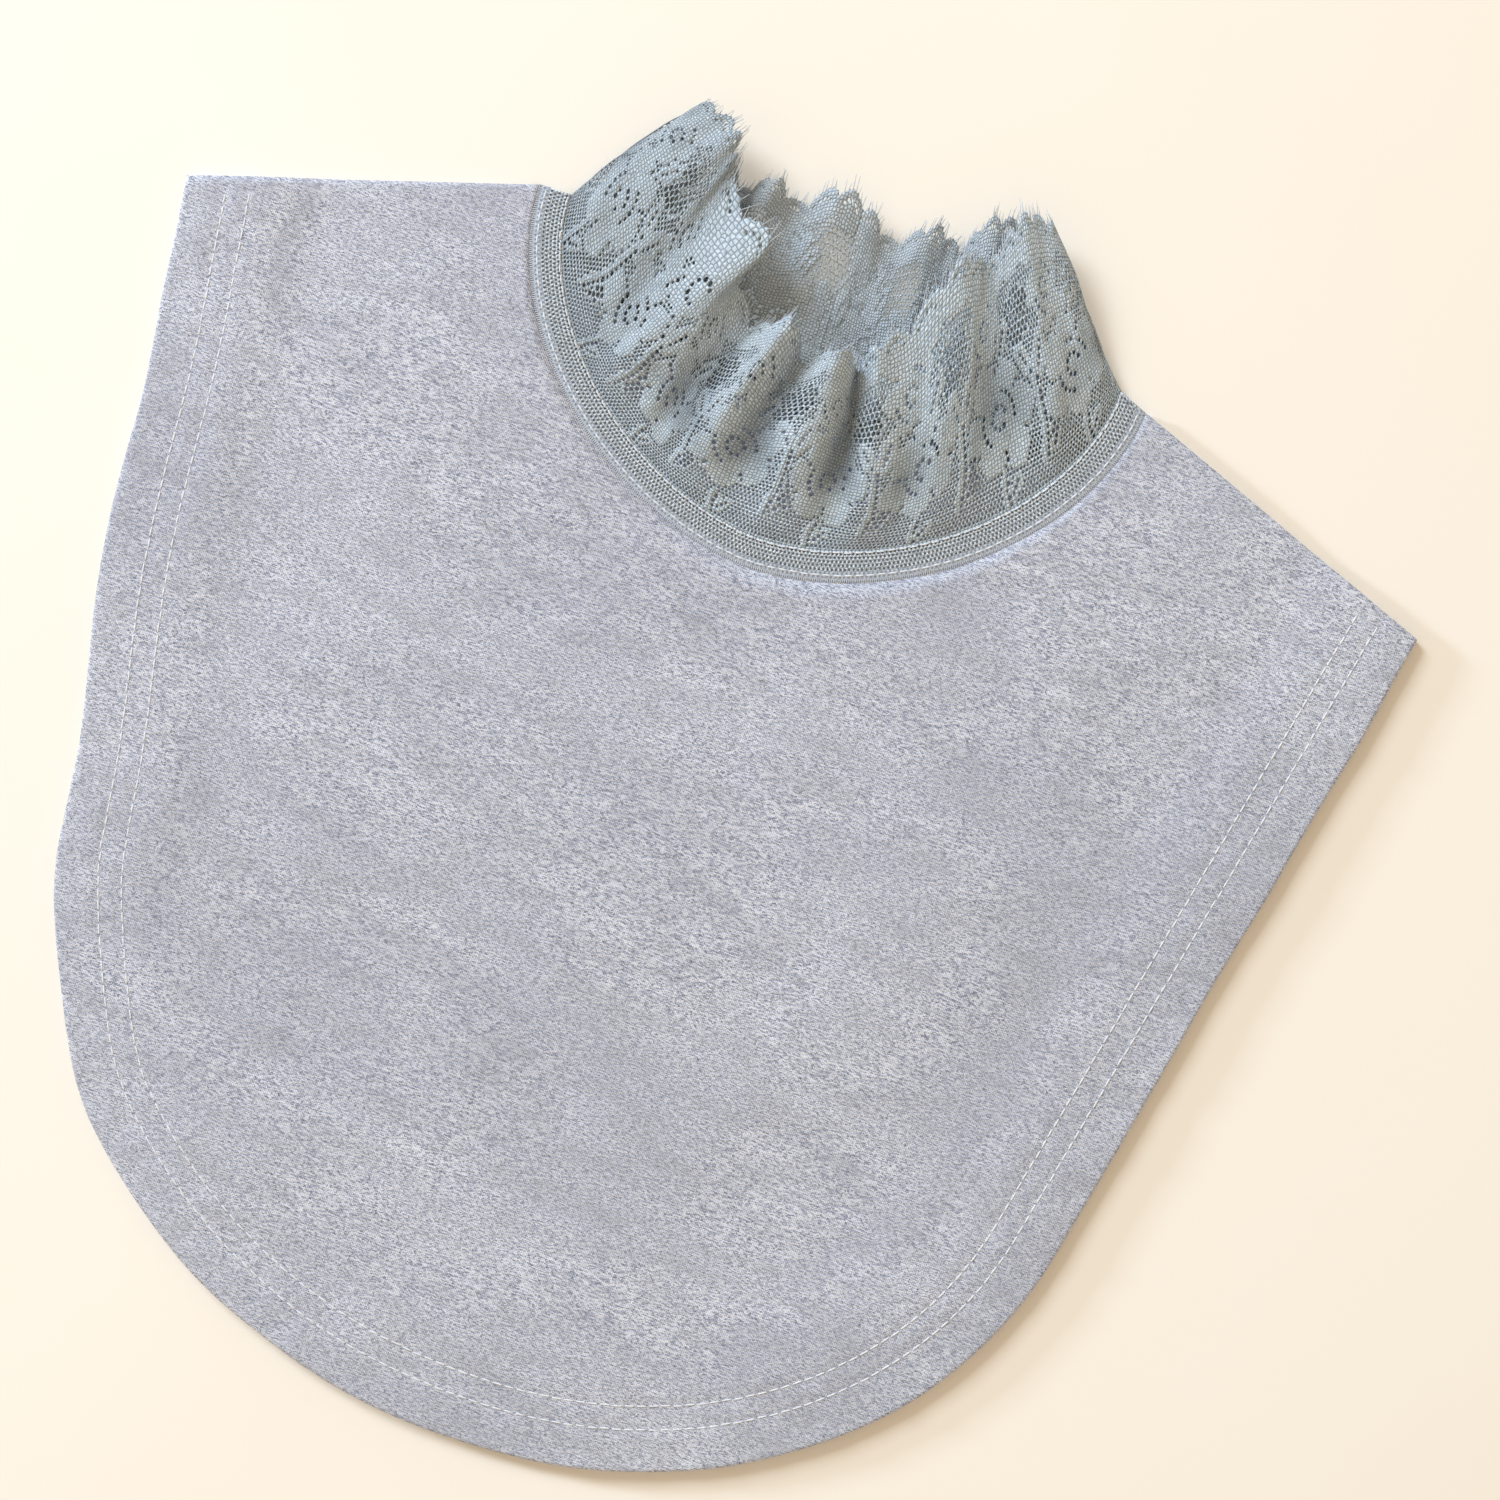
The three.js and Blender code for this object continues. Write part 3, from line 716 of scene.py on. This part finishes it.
def neck_tape(side):
    """The seam tape: a flat strip along the neckline with faint ribs across it."""
    columns = 521
    u = np.linspace(0, 1, columns)
    rise = TAPE_RISE if side == "front" else 0.0
    bottom = PANEL_UNDER[side]
    top = bottom + JERSEY + rise
    profile = [(0.0, 0.0), (0.0, 0.55), (0.25, 0.6), (0.6, 0.66), (1.0, 0.71), (1.35, 0.74), (1.6, 0.72),
               (2.1, 0.76), (2.45, 0.77), (TAPE_WIDTH, 0.75), (TAPE_WIDTH, 0.0)]
    points = []
    uv = []
    for i, share in enumerate(u):
        rib = 0.05 * math.sin(2 * math.pi * share * NECK[side].length / 1.1)
        for offset, level in profile:
            shift = rib * (1 if level > 0.5 else 0)
            reach = np.array(offset - abs(rib) * (offset < 0.2))
            x, y = NECK[side].inside(np.array(share), reach, FOOT_LEAN)
            points.append((x, y, bottom + (top - bottom) * level + shift * 0.8))
            uv.append((share * NECK[side].length, offset))
    faces = capped_tube(columns, len(profile))
    thing = piece(f"tape_{side}", points, faces, TAPE_CLOTH, uv)
    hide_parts(f"neck_tape_{side}")
    return thing


front_tape = neck_tape("front")
back_tape = neck_tape("back")

overlock = Bits()
neck_u = np.arange(0.004, 0.996, 0.6 / NECK["front"].length)
outer = NECK["front"].inside(neck_u, np.full(neck_u.shape, -0.6))
inner = NECK["front"].inside(neck_u, np.full(neck_u.shape, 0.5))
panel_top = PANEL_UNDER["front"] + JERSEY
for a, b in zip(outer, inner):
    start = np.array([*a, panel_top - 0.02])
    end = np.array([*b, panel_top + 0.12])
    overlock.capsule(start, end, 0.24, UP, sides=5, flatten=0.5)
piece("overlock_edge", overlock.points, overlock.faces, EDGE_THREAD)

neck_stitches = Bits()
dashes(neck_stitches, tape_line(1.6, 2.64), 2.2, 0.9, 0.22)
dashes(neck_stitches, tape_line(BAND_END - 0.35, 2.78), 2.2, 0.9, 0.2)
piece("neck_stitches", neck_stitches.points, neck_stitches.faces, WHITE_THREAD)

# ---------- lace pattern on the flat strip ----------

NET_PITCH = 1.3
NET_HOLE = 0.46
WINDOW_PITCH = 1.75
WINDOW_HOLE = 0.76
BAND_HOLE = 0.4
CLOSED_PITCH = 1.05  # of the points that carry the closed work
REPEAT = {"front": 261.1 / 8, "back": 206.3 / 6}
PLAIN_REPEAT = 1  # the repeat that folds over at the left has closer work near its edge
LACE_THICK = 0.34
CLOTH_RAISE = 0.22
# Strength of the painted shade on the fold at the left end of the front lace.
LEFT_SHADE = 0.32


class Pattern:
    """Closed work, windows and eyelets of one lace strip, with its length along the foot."""

    def __init__(self, side):
        self.side = side
        self.length = NECK[side].length
        self.petals = []  # ellipses of closed work: x, y, half length, half width, angle
        self.windows = []  # ellipses of hexagon net
        self.eyelets = []  # round holes: x, y, radius
        self.slits = []  # narrow holes: x, y, half length, half width, angle

    def petal(self, x, y, long, wide, angle):
        self.petals.append((x, y, long, wide, angle))

    def row(self, points, pitch, radius):
        """Eyelets along a line, evenly apart."""
        points = np.array(points, dtype=float)
        steps = np.linalg.norm(np.diff(points, axis=0), axis=1)
        reach = np.concatenate([[0], np.cumsum(steps)])
        count = max(1, int(round(reach[-1] / pitch)))
        for goal in (np.arange(count) + 0.5) * reach[-1] / count:
            x = np.interp(goal, reach, points[:, 0])
            y = np.interp(goal, reach, points[:, 1])
            self.eyelets.append((x, y, radius * RNG.uniform(0.9, 1.38)))

    def arc(self, x, y, radius, start, end, pitch, size):
        angles = np.radians(np.linspace(start, end, 24))
        self.row(np.stack([x + radius * np.cos(angles), y + radius * np.sin(angles)], -1), pitch, size)

    def rose(self, x, y, size, turn):
        """An open rose: six round petals, an inner ring of eyelets and rows between the petals."""
        for k in range(6):
            angle = math.radians(turn + 60 * k)
            grow = 1 + 0.09 * math.sin(2.3 * k + turn)
            reach = 0.6 * size * grow
            self.petal(x + reach * math.cos(angle), y + reach * math.sin(angle), 0.43 * size * grow,
                       0.37 * size, angle)
            gap = angle + math.radians(30)
            inner, outer = 0.6 * size, 0.84 * size
            line = [(x + r * math.cos(gap + 0.1), y + r * math.sin(gap + 0.1)) for r in (inner, outer)]
            if k % 2 == 0:
                self.row(line, 1.6, 0.52)
            else:
                mid = 0.84 * size
                self.slits.append((x + mid * math.cos(gap), y + mid * math.sin(gap), 1.1, 0.3, gap))
        self.petal(x, y, 0.55 * size, 0.55 * size, 0)
        self.arc(x, y, 0.2 * size, 0, 325, 1.9, 0.62)
        self.arc(x, y, 0.46 * size, turn - 20, turn + 75, 1.85, 0.6)
        self.arc(x, y, 0.49 * size, turn + 150, turn + 235, 1.85, 0.6)

    def leaf(self, x, y, long, wide, degrees):
        angle = math.radians(degrees)
        self.petal(x, y, long, wide, angle)
        vein = [(x + r * long * math.cos(angle), y + r * long * math.sin(angle)) for r in (-0.8, 0.6)]
        self.row(vein, 1.6, 0.48)

    def stem(self, points, width):
        """A narrow closed band with eyelets down one side of it."""
        points = np.array(points, dtype=float)
        for a, b in zip(points[:-1], points[1:]):
            middle = (a + b) / 2
            way = b - a
            half = np.linalg.norm(way) / 2
            self.petal(*middle, half * 1.25, width / 2, math.atan2(way[1], way[0]))
        self.row(points + [width * 0.5 + 0.6, 0], 1.75, 0.55)

    def inside(self, shapes, x, y, grow=0.0):
        """How deep points lie in the shapes: 1 in the middle of one, 0 on its outline."""
        depth = np.full(np.shape(x), -9.0)
        for px, py, long, wide, angle in shapes:
            c, s = math.cos(angle), math.sin(angle)
            dx, dy = x - px, y - py
            a = (dx * c + dy * s) / (long + grow)
            b = (-dx * s + dy * c) / (wide + grow)
            depth = np.maximum(depth, 1 - np.sqrt(a * a + b * b))
        return depth


def lay_out(side):
    """Places the motifs of a strip, one repeat beside the other. Their places are in mm from the
    left end and the foot of the strip. The design is a generic one."""
    p = Pattern(side)
    step = REPEAT[side]
    scale = step / REPEAT["front"]
    for k in range(-1, int(round(p.length / step)) + 1):
        x = (k + 0.5) * step
        odd = k % 2
        tilt = 14 if odd else -9
        p.rose(x, 21.8 + 1.4 * odd, 13.4, tilt + 12)
        p.stem([(x - 0.6, 0.2), (x - 1.3, 4), (x - 0.4, 8.5)], 1.5)
        p.leaf(x + 3.2 * scale, 4.6, 3.4, 1.5, 48)
        p.stem([(x + 14.6 * scale, 6.5), (x + 16.4 * scale, 15), (x + 15.4 * scale, 27)], 1.7)
        p.leaf(x + 12.6 * scale, 31.0, 5.2, 2.2, 125)
        p.leaf(x + 19.0 * scale, 31.0, 6.2, 2.8, 72)
        p.leaf(x + 3.4, 38.6, 4.6, 2.1, 64)
        bud = x - 6.0 * scale
        p.petal(bud, 43.6, 4.4, 4.4, 0)
        for j in range(5):
            angle = math.radians(90 + 72 * j + tilt)
            p.petal(bud + 4.7 * math.cos(angle), 43.6 + 4.7 * math.sin(angle), 4.2, 3.6, angle)
        p.arc(bud, 43.6, 2.2, 0, 320, 1.8, 0.52)
        p.arc(bud, 43.6, 5.6, 190, 260, 1.7, 0.48)
        p.arc(bud, 43.6, 5.6, 20, 80, 1.7, 0.48)
        if k == PLAIN_REPEAT and side == "front":
            p.petal(x + 10.6 * scale, 41.0, 8.2, 6.2, 0.4)
            p.petal(x + 9.6 * scale, 47.5, 9.5, 4.2, 0.0)
            p.arc(x + 10.6 * scale, 41.0, 3.2, 30, 300, 1.9, 0.6)
        else:
            wide = 1.3 if side == "back" else 1.0
            p.windows.append((x + 10.6 * scale, 41.6, 6.6 * wide, 6.0 * wide, 0.5))
        p.windows.append((x - 13.4 * scale, 13.0, 3.4, 5.6, -0.4))
    lobe = p.length / SCALLOPS[side]
    for k in range(SCALLOPS[side]):
        middle = (k + 0.5) * lobe
        p.petal(middle, 54.6, 0.56 * lobe, 5.4 + 0.9 * math.sin(2.1 * k), 0)
        p.arc(middle, 53.4, 0.33 * lobe, 25, 155, 1.5, 0.4)
    return p


def hexagon(x, y, radius, turn=0.0, sides=6):
    angles = turn + np.arange(sides) * 2 * math.pi / sides
    return np.stack([x + radius * np.cos(angles), y + radius * np.sin(angles)], -1)


def lattice(pitch, length, height, offset=0.0):
    """Points of a triangular lattice over a strip."""
    out = []
    for k in range(math.ceil(height / (pitch * ROW_RISE))):
        x = np.arange(0, length, pitch) + (0.5 * pitch if k % 2 else 0) + offset
        out.append(np.stack([x, np.full(x.shape, k * pitch * ROW_RISE)], -1))
    return np.concatenate(out)


def keep_clear(points, radii, taken, spare):
    """Which points stay clear of the holes that are already taken, 500 points at a time."""
    good = np.ones(len(points), dtype=bool)
    if not len(taken):
        return good
    for start in range(0, len(points), 500):
        part = slice(start, start + 500)
        gap = np.linalg.norm(points[part, None, :] - taken[None, :, :2], axis=-1) - taken[None, :, 2]
        good[part] = gap.min(1) > radii[part] + spare
    return good


def cut_holes(outline, holes, spread=()):
    """Triangles between an outline and its holes, also through the points of spread."""
    points = [Vector(p) for p in outline]
    faces = [list(range(len(outline)))]
    for ring in holes:
        first = len(points)
        points.extend(Vector(p) for p in ring)
        faces.append(list(range(first, first + len(ring))))
    points.extend(Vector(p) for p in spread)
    result = delaunay_2d_cdt(points, [], faces, 1, 1e-6, True)
    flat = np.array([tuple(p) for p in result[0]])
    return flat, [tuple(f) for f, o in zip(result[2], result[5]) if o == [0]]


def strip_mesh(pattern):
    """Cuts the holes in the flat strip. Gives its points in mm, its triangles and its shades."""
    side, length = pattern.side, pattern.length
    count = int(length / 0.55)
    u_edge = np.linspace(0, 1, count + 1)
    top = edge_height(side, u_edge) + 0.35 * np.sin(u_edge * length * 2 * math.pi / 1.9)
    low = np.linspace(0, 1, int(length / 0.8) + 1)
    left = np.linspace(0, 1, 60)[1:-1]
    outline = [(x * length, 0.0) for x in low]
    outline += [(length, h * top[-1]) for h in left]
    outline += [(x * length, y) for x, y in zip(u_edge[::-1], top[::-1])]
    outline += [(0.0, h * top[0]) for h in left[::-1]]

    holes = []
    taken = np.zeros((0, 3))

    def add(points, radius, spare, sides=6, turn=0.0, jitter=0.0):
        nonlocal taken
        points = np.asarray(points, dtype=float)
        if not len(points):
            return
        radii = np.full(len(points), radius) if np.isscalar(radius) else np.asarray(radius)
        edge = edge_height(side, np.clip(points[:, 0] / length, 0, 1))
        good = (points[:, 0] > radii + 0.3) & (points[:, 0] < length - radii - 0.3)
        good &= (points[:, 1] > radii + 0.25) & (points[:, 1] < edge - radii - 1.1)
        points, radii = points[good], radii[good]
        good = keep_clear(points, radii, taken, spare)
        points, radii = points[good], radii[good]
        for (x, y), r in zip(points, radii):
            shake = RNG.uniform(-jitter, jitter)
            holes.append(hexagon(x, y, r, turn + shake, sides))
        taken = np.concatenate([taken, np.concatenate([points, radii[:, None]], 1)])

    eyelets = np.array(pattern.eyelets)
    chosen = []
    for x, y, r in eyelets:
        if all((x - a) ** 2 + (y - b) ** 2 > (r + c + 0.3) ** 2 for a, b, c in chosen[-260:]):
            chosen.append((x, y, r))
    eyelets = np.array(chosen)
    add(eyelets[:, :2], eyelets[:, 2], -9, sides=7, jitter=0.5)

    slits = []
    for x, y, long, wide, angle in pattern.slits:
        c, s = math.cos(angle), math.sin(angle)
        half = [(long, 0), (0.4 * long, wide), (-0.7 * long, wide)]
        ring = half + [(-long, 0), (-0.7 * long, -wide), (0.4 * long, -wide)]
        if 1.5 < x < length - 1.5 and y < 50:
            if keep_clear(np.array([[x, y]]), np.array([long]), taken, 0.2)[0]:
                holes.append(np.array([(x + a * c - b * s, y + a * s + b * c) for a, b in ring]))
                slits.append((x, y, long))
    if slits:
        taken = np.concatenate([taken, np.array(slits)])

    net = lattice(WINDOW_PITCH, length, 60, 0.4)
    depth = pattern.inside(pattern.windows, net[:, 0], net[:, 1])
    cloth = pattern.inside(pattern.petals, net[:, 0], net[:, 1], 0.55)
    add(net[(depth > 0) & (cloth < 0)], WINDOW_HOLE, 0.22, turn=math.pi / 6)

    fine = lattice(NET_PITCH, length, 60)
    cloth = pattern.inside(pattern.petals, fine[:, 0], fine[:, 1], 0.3)
    add(fine[cloth < 0], NET_HOLE, 0.16, turn=math.pi / 6)

    closed = lattice(CLOSED_PITCH, length, 62, 0.21)
    edge = edge_height(side, np.clip(closed[:, 0] / length, 0, 1))
    good = (closed[:, 0] > 0.5) & (closed[:, 0] < length - 0.5)
    good &= (closed[:, 1] > 0.5) & (closed[:, 1] < edge - 0.7)
    closed = closed[good]
    closed = closed[keep_clear(closed, np.zeros(len(closed)), taken, 0.3)]

    flat, triangles = cut_holes(outline, holes, closed)
    cloth = pattern.inside(pattern.petals, flat[:, 0], flat[:, 1], 0.2)
    return flat, triangles, smooth(cloth * 9 + 0.5)


def ripple(flat):
    """Small crinkles of the lace, more of them away from its foot."""
    waves = np.stack([flat[:, 0], flat[:, 1] * 0.45], -1)
    fine = noise_at(waves, 5.5, 6.3) * 0.6 + noise_at(waves, 12.0, 1.3) * 1.1
    return fine * smooth(flat[:, 1] / 14)


def hang(side, flat, raised, face):
    """Carries points of the flat strip to the folded lace. face: 1 outer, -1 inner side."""
    u = flat[:, 0] / NECK[side].length
    t = flat[:, 1] / LACE_HEIGHT
    place = lace_point(side, u, t)
    normal = lace_normal(side, u, t)
    room = np.clip((place[:, 2] - 0.75) / 1.6, 0, 1)
    near = LACE_THICK / 2 * face + raised * face * 0.5
    return place + normal * (ripple(flat) * room + near)[:, None]


def lace_wall(side, parts):
    """One side of the lace neck, split along its length. Gives its pieces with their cut areas."""
    pattern = lay_out(side)
    flat, triangles, worked = strip_mesh(pattern)
    raised = worked * CLOTH_RAISE
    outer = hang(side, flat, raised, 1)
    inner = hang(side, flat, raised * 0.4, -1)
    # Painted shade: the low places between the folds are darker, and so is the fold at the left end.
    deep = (1 - smooth((outer[:, 2] - 4.5) / 6)) * smooth((flat[:, 1] - 12) / 14)
    if side == "back":
        deep = deep * 0.3
    else:
        deep = np.maximum(deep, LEFT_SHADE * smooth((0.3 - flat[:, 0] / pattern.length) / 0.12))
    tri = np.array([t for t in triangles if len(t) == 3])
    centre = flat[tri].mean(1)[:, 0] / pattern.length
    made = []
    for k in range(parts):
        chosen = tri[(centre >= k / parts) & (centre < (k + 1) / parts)]
        used = np.unique(chosen)
        lookup = np.full(len(flat), -1)
        lookup[used] = np.arange(len(used))
        faces = shell_faces(lookup[chosen].tolist(), len(used))
        points = np.concatenate([outer[used], inner[used]])
        shades = {"cloth": np.tile(worked[used], 2), "deep": np.tile(deep[used], 2)}
        name = f"lace_neck_{side}_{k + 1}"
        thing = piece(name, points, faces, LACE_CLOTH[side], np.tile(flat[used], (2, 1)), shades)
        if k == 0:
            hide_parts(f"lace_{side}")
        a, b, c = (flat[chosen[:, i]] for i in range(3))
        area = np.abs((b - a)[:, 0] * (c - a)[:, 1] - (b - a)[:, 1] * (c - a)[:, 0]).sum() / 2
        made.append((thing, area * MM * MM))
    return made


lace_front = lace_wall("front", 2)
lace_back = lace_wall("back", 2)

# ---------- net band at the foot of the lace ----------


def net_band(side):
    """Fine net between the seam tape and the lace, with its folded edge under it."""
    start, end = TAPE_WIDTH - 0.05, BAND_END + 0.2
    length = NECK[side].length
    low = np.linspace(0, length, int(length / 0.8) + 1)
    outline = [(x, start) for x in low] + [(x, end) for x in low[::-1]]
    holes = []
    for k, y in enumerate(np.arange(start + 0.7, end - 0.4, BAND_PITCH * ROW_RISE)):
        for x in np.arange(0.8 + BAND_PITCH / 2 * (k % 2), length - 0.8, BAND_PITCH):
            holes.append(hexagon(x, y, BAND_HOLE, math.pi / 6))
    flat, triangles = cut_holes(outline, holes)
    plan = NECK[side].inside(flat[:, 0] / length, flat[:, 1], FOOT_LEAN)
    size = len(flat)
    top = np.full((size, 1), FOOT_Z[side] + 0.4)
    skins = np.concatenate([np.concatenate([plan, top - drop], -1) for drop in (0.0, 0.3)])
    faces = shell_faces(triangles, size)
    shades = {"cloth": np.full(2 * size, 0.08)}
    thing = piece(f"band_{side}", skins, faces, BAND_CLOTH, np.tile(flat, (2, 1)), shades)
    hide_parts(f"net_band_{side}")
    columns = 261
    u = np.linspace(0, 1, columns)
    lining = []
    uv = []
    for offset, level in ((start, 0.05), (end - 0.5, 0.05), (end - 0.5, -0.35), (start, -0.35)):
        plan = NECK[side].inside(u, np.full(columns, offset), FOOT_LEAN)
        lining.append(np.concatenate([plan, np.full((columns, 1), FOOT_Z[side] + level)], -1))
        uv.append(np.stack([u * length, np.full(columns, offset)], -1))
    lining = np.stack(lining, 1).reshape(-1, 3)
    uv = np.stack(uv, 1).reshape(-1, 2)
    piece(f"band_lining_{side}", lining, capped_tube(columns, 4), LINING_CLOTH, uv)
    return thing


band_front = net_band("front")
band_back = net_band("back")

# ---------- eyelash edge ----------


LASH_SPACING = 1.7


def lashes(side):
    """Cut thread ends along the scalloped edge."""
    bits = Bits()
    length = NECK[side].length
    x = 0.6
    while x < length - 0.6:
        u = x / length
        burst = 0.55 + 0.45 * math.sin(x * 0.52 + 1.3)
        lean = RNG.normal(0, 0.4)
        reach = RNG.uniform(2.0, 3.4) + 1.2 * burst * RNG.uniform(0.3, 1)
        base = float(edge_height(side, np.array(u))) - 0.7
        path = []
        droop = RNG.normal(0.04, 0.1)
        for k in range(4):
            share = k / 3
            flat = np.array([[x + lean * reach * share, base + reach * share]])
            point = hang(side, flat, np.zeros(1), 0)[0]
            normal = lace_normal(side, flat[:, 0] / length, np.array([base / LACE_HEIGHT]))[0]
            lift = droop * reach * share**2
            point = point + normal * (lift if side == "front" else abs(lift))
            point[2] = max(point[2], 0.35)
            path.append(point)
        bits.hair(np.array(path), RNG.uniform(0.17, 0.23))
        x += RNG.uniform(0.35, 1.35) * LASH_SPACING
    thing = piece(f"lashes_{side}", bits.points, bits.faces, LASH_THREAD)
    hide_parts(f"lash_fringe_{side}")


lashes("front")
lashes("back")

# ---------- floor, light and camera ----------

bpy.ops.mesh.primitive_plane_add(size=6, location=(0, 0, -0.0002))
floor = bpy.context.object
floor.name = "floor"
floor.data.materials.append(floor_material())


def area_light(name, place, size, power, color):
    light = bpy.data.lights.new(name, "AREA")
    light.size = size
    light.energy = power
    light.color = color
    thing = bpy.data.objects.new(name, light)
    thing.location = place
    thing.rotation_euler = (-Vector(place)).to_track_quat("-Z", "Y").to_euler()
    bpy.context.scene.collection.objects.link(thing)
    return thing


def only(title, things):
    """A collection of its own that a light is kept to."""
    group = bpy.data.collections.new(title)
    for thing in things:
        group.objects.link(thing)
    return group


CLOTH_THINGS = [thing for thing in bpy.context.scene.objects if thing.type == "MESH" and thing != floor]
area_light("key", (-2.5, 1.4, 1.95), 1.3, 80, (0.86, 1.0, 1.14))
side_light = area_light("side", (-2.6, 1.7, 1.0), 0.7, 24, (0.58, 0.78, 1.12))
side_light.light_linking.receiver_collection = only("cloth_only", CLOTH_THINGS)
# The thin lace lets light through to the back panel, which shows in the holes of its foot.
through_light = area_light("through", (-1.2, 0.9, 2.6), 1.3, 9, (0.9, 0.97, 1.1))
through_light.light_linking.receiver_collection = only("back_only", [back_jersey])
through_light.light_linking.blocker_collection = only("front_only", [front_jersey])
# A low light on the floor alone gives the bib the wide warm shadow of a hem that stands off a little.
low_light = area_light("low", (-3.1, 0.1, 0.68), 0.35, 92, (0.6, 0.78, 1.0))
low_light.light_linking.receiver_collection = only("floor_only", [floor])
low_light.light_linking.blocker_collection = only("bib_only", [front_jersey, back_jersey])

scene = bpy.context.scene
scene.world = bpy.data.worlds.new("studio")
scene.world.use_nodes = True
background = scene.world.node_tree.nodes["Background"]
background.inputs["Color"].default_value = (1.06, 0.895, 0.69, 1)
background.inputs["Strength"].default_value = 0.6
scene.view_settings.view_transform = "Standard"

PHOTO_TURN = math.radians(20.7)
PHOTO_CENTRE = (0.0201, 0.0198)
PHOTO_WIDTH = 0.42
lens = bpy.data.cameras.new("camera")
lens.lens = 85
lens.sensor_width = 36
camera = bpy.data.objects.new("camera", lens)
camera.location = (*PHOTO_CENTRE, PHOTO_WIDTH * lens.lens / lens.sensor_width)
camera.rotation_euler = (0, 0, PHOTO_TURN)
scene.collection.objects.link(camera)
scene.camera = camera
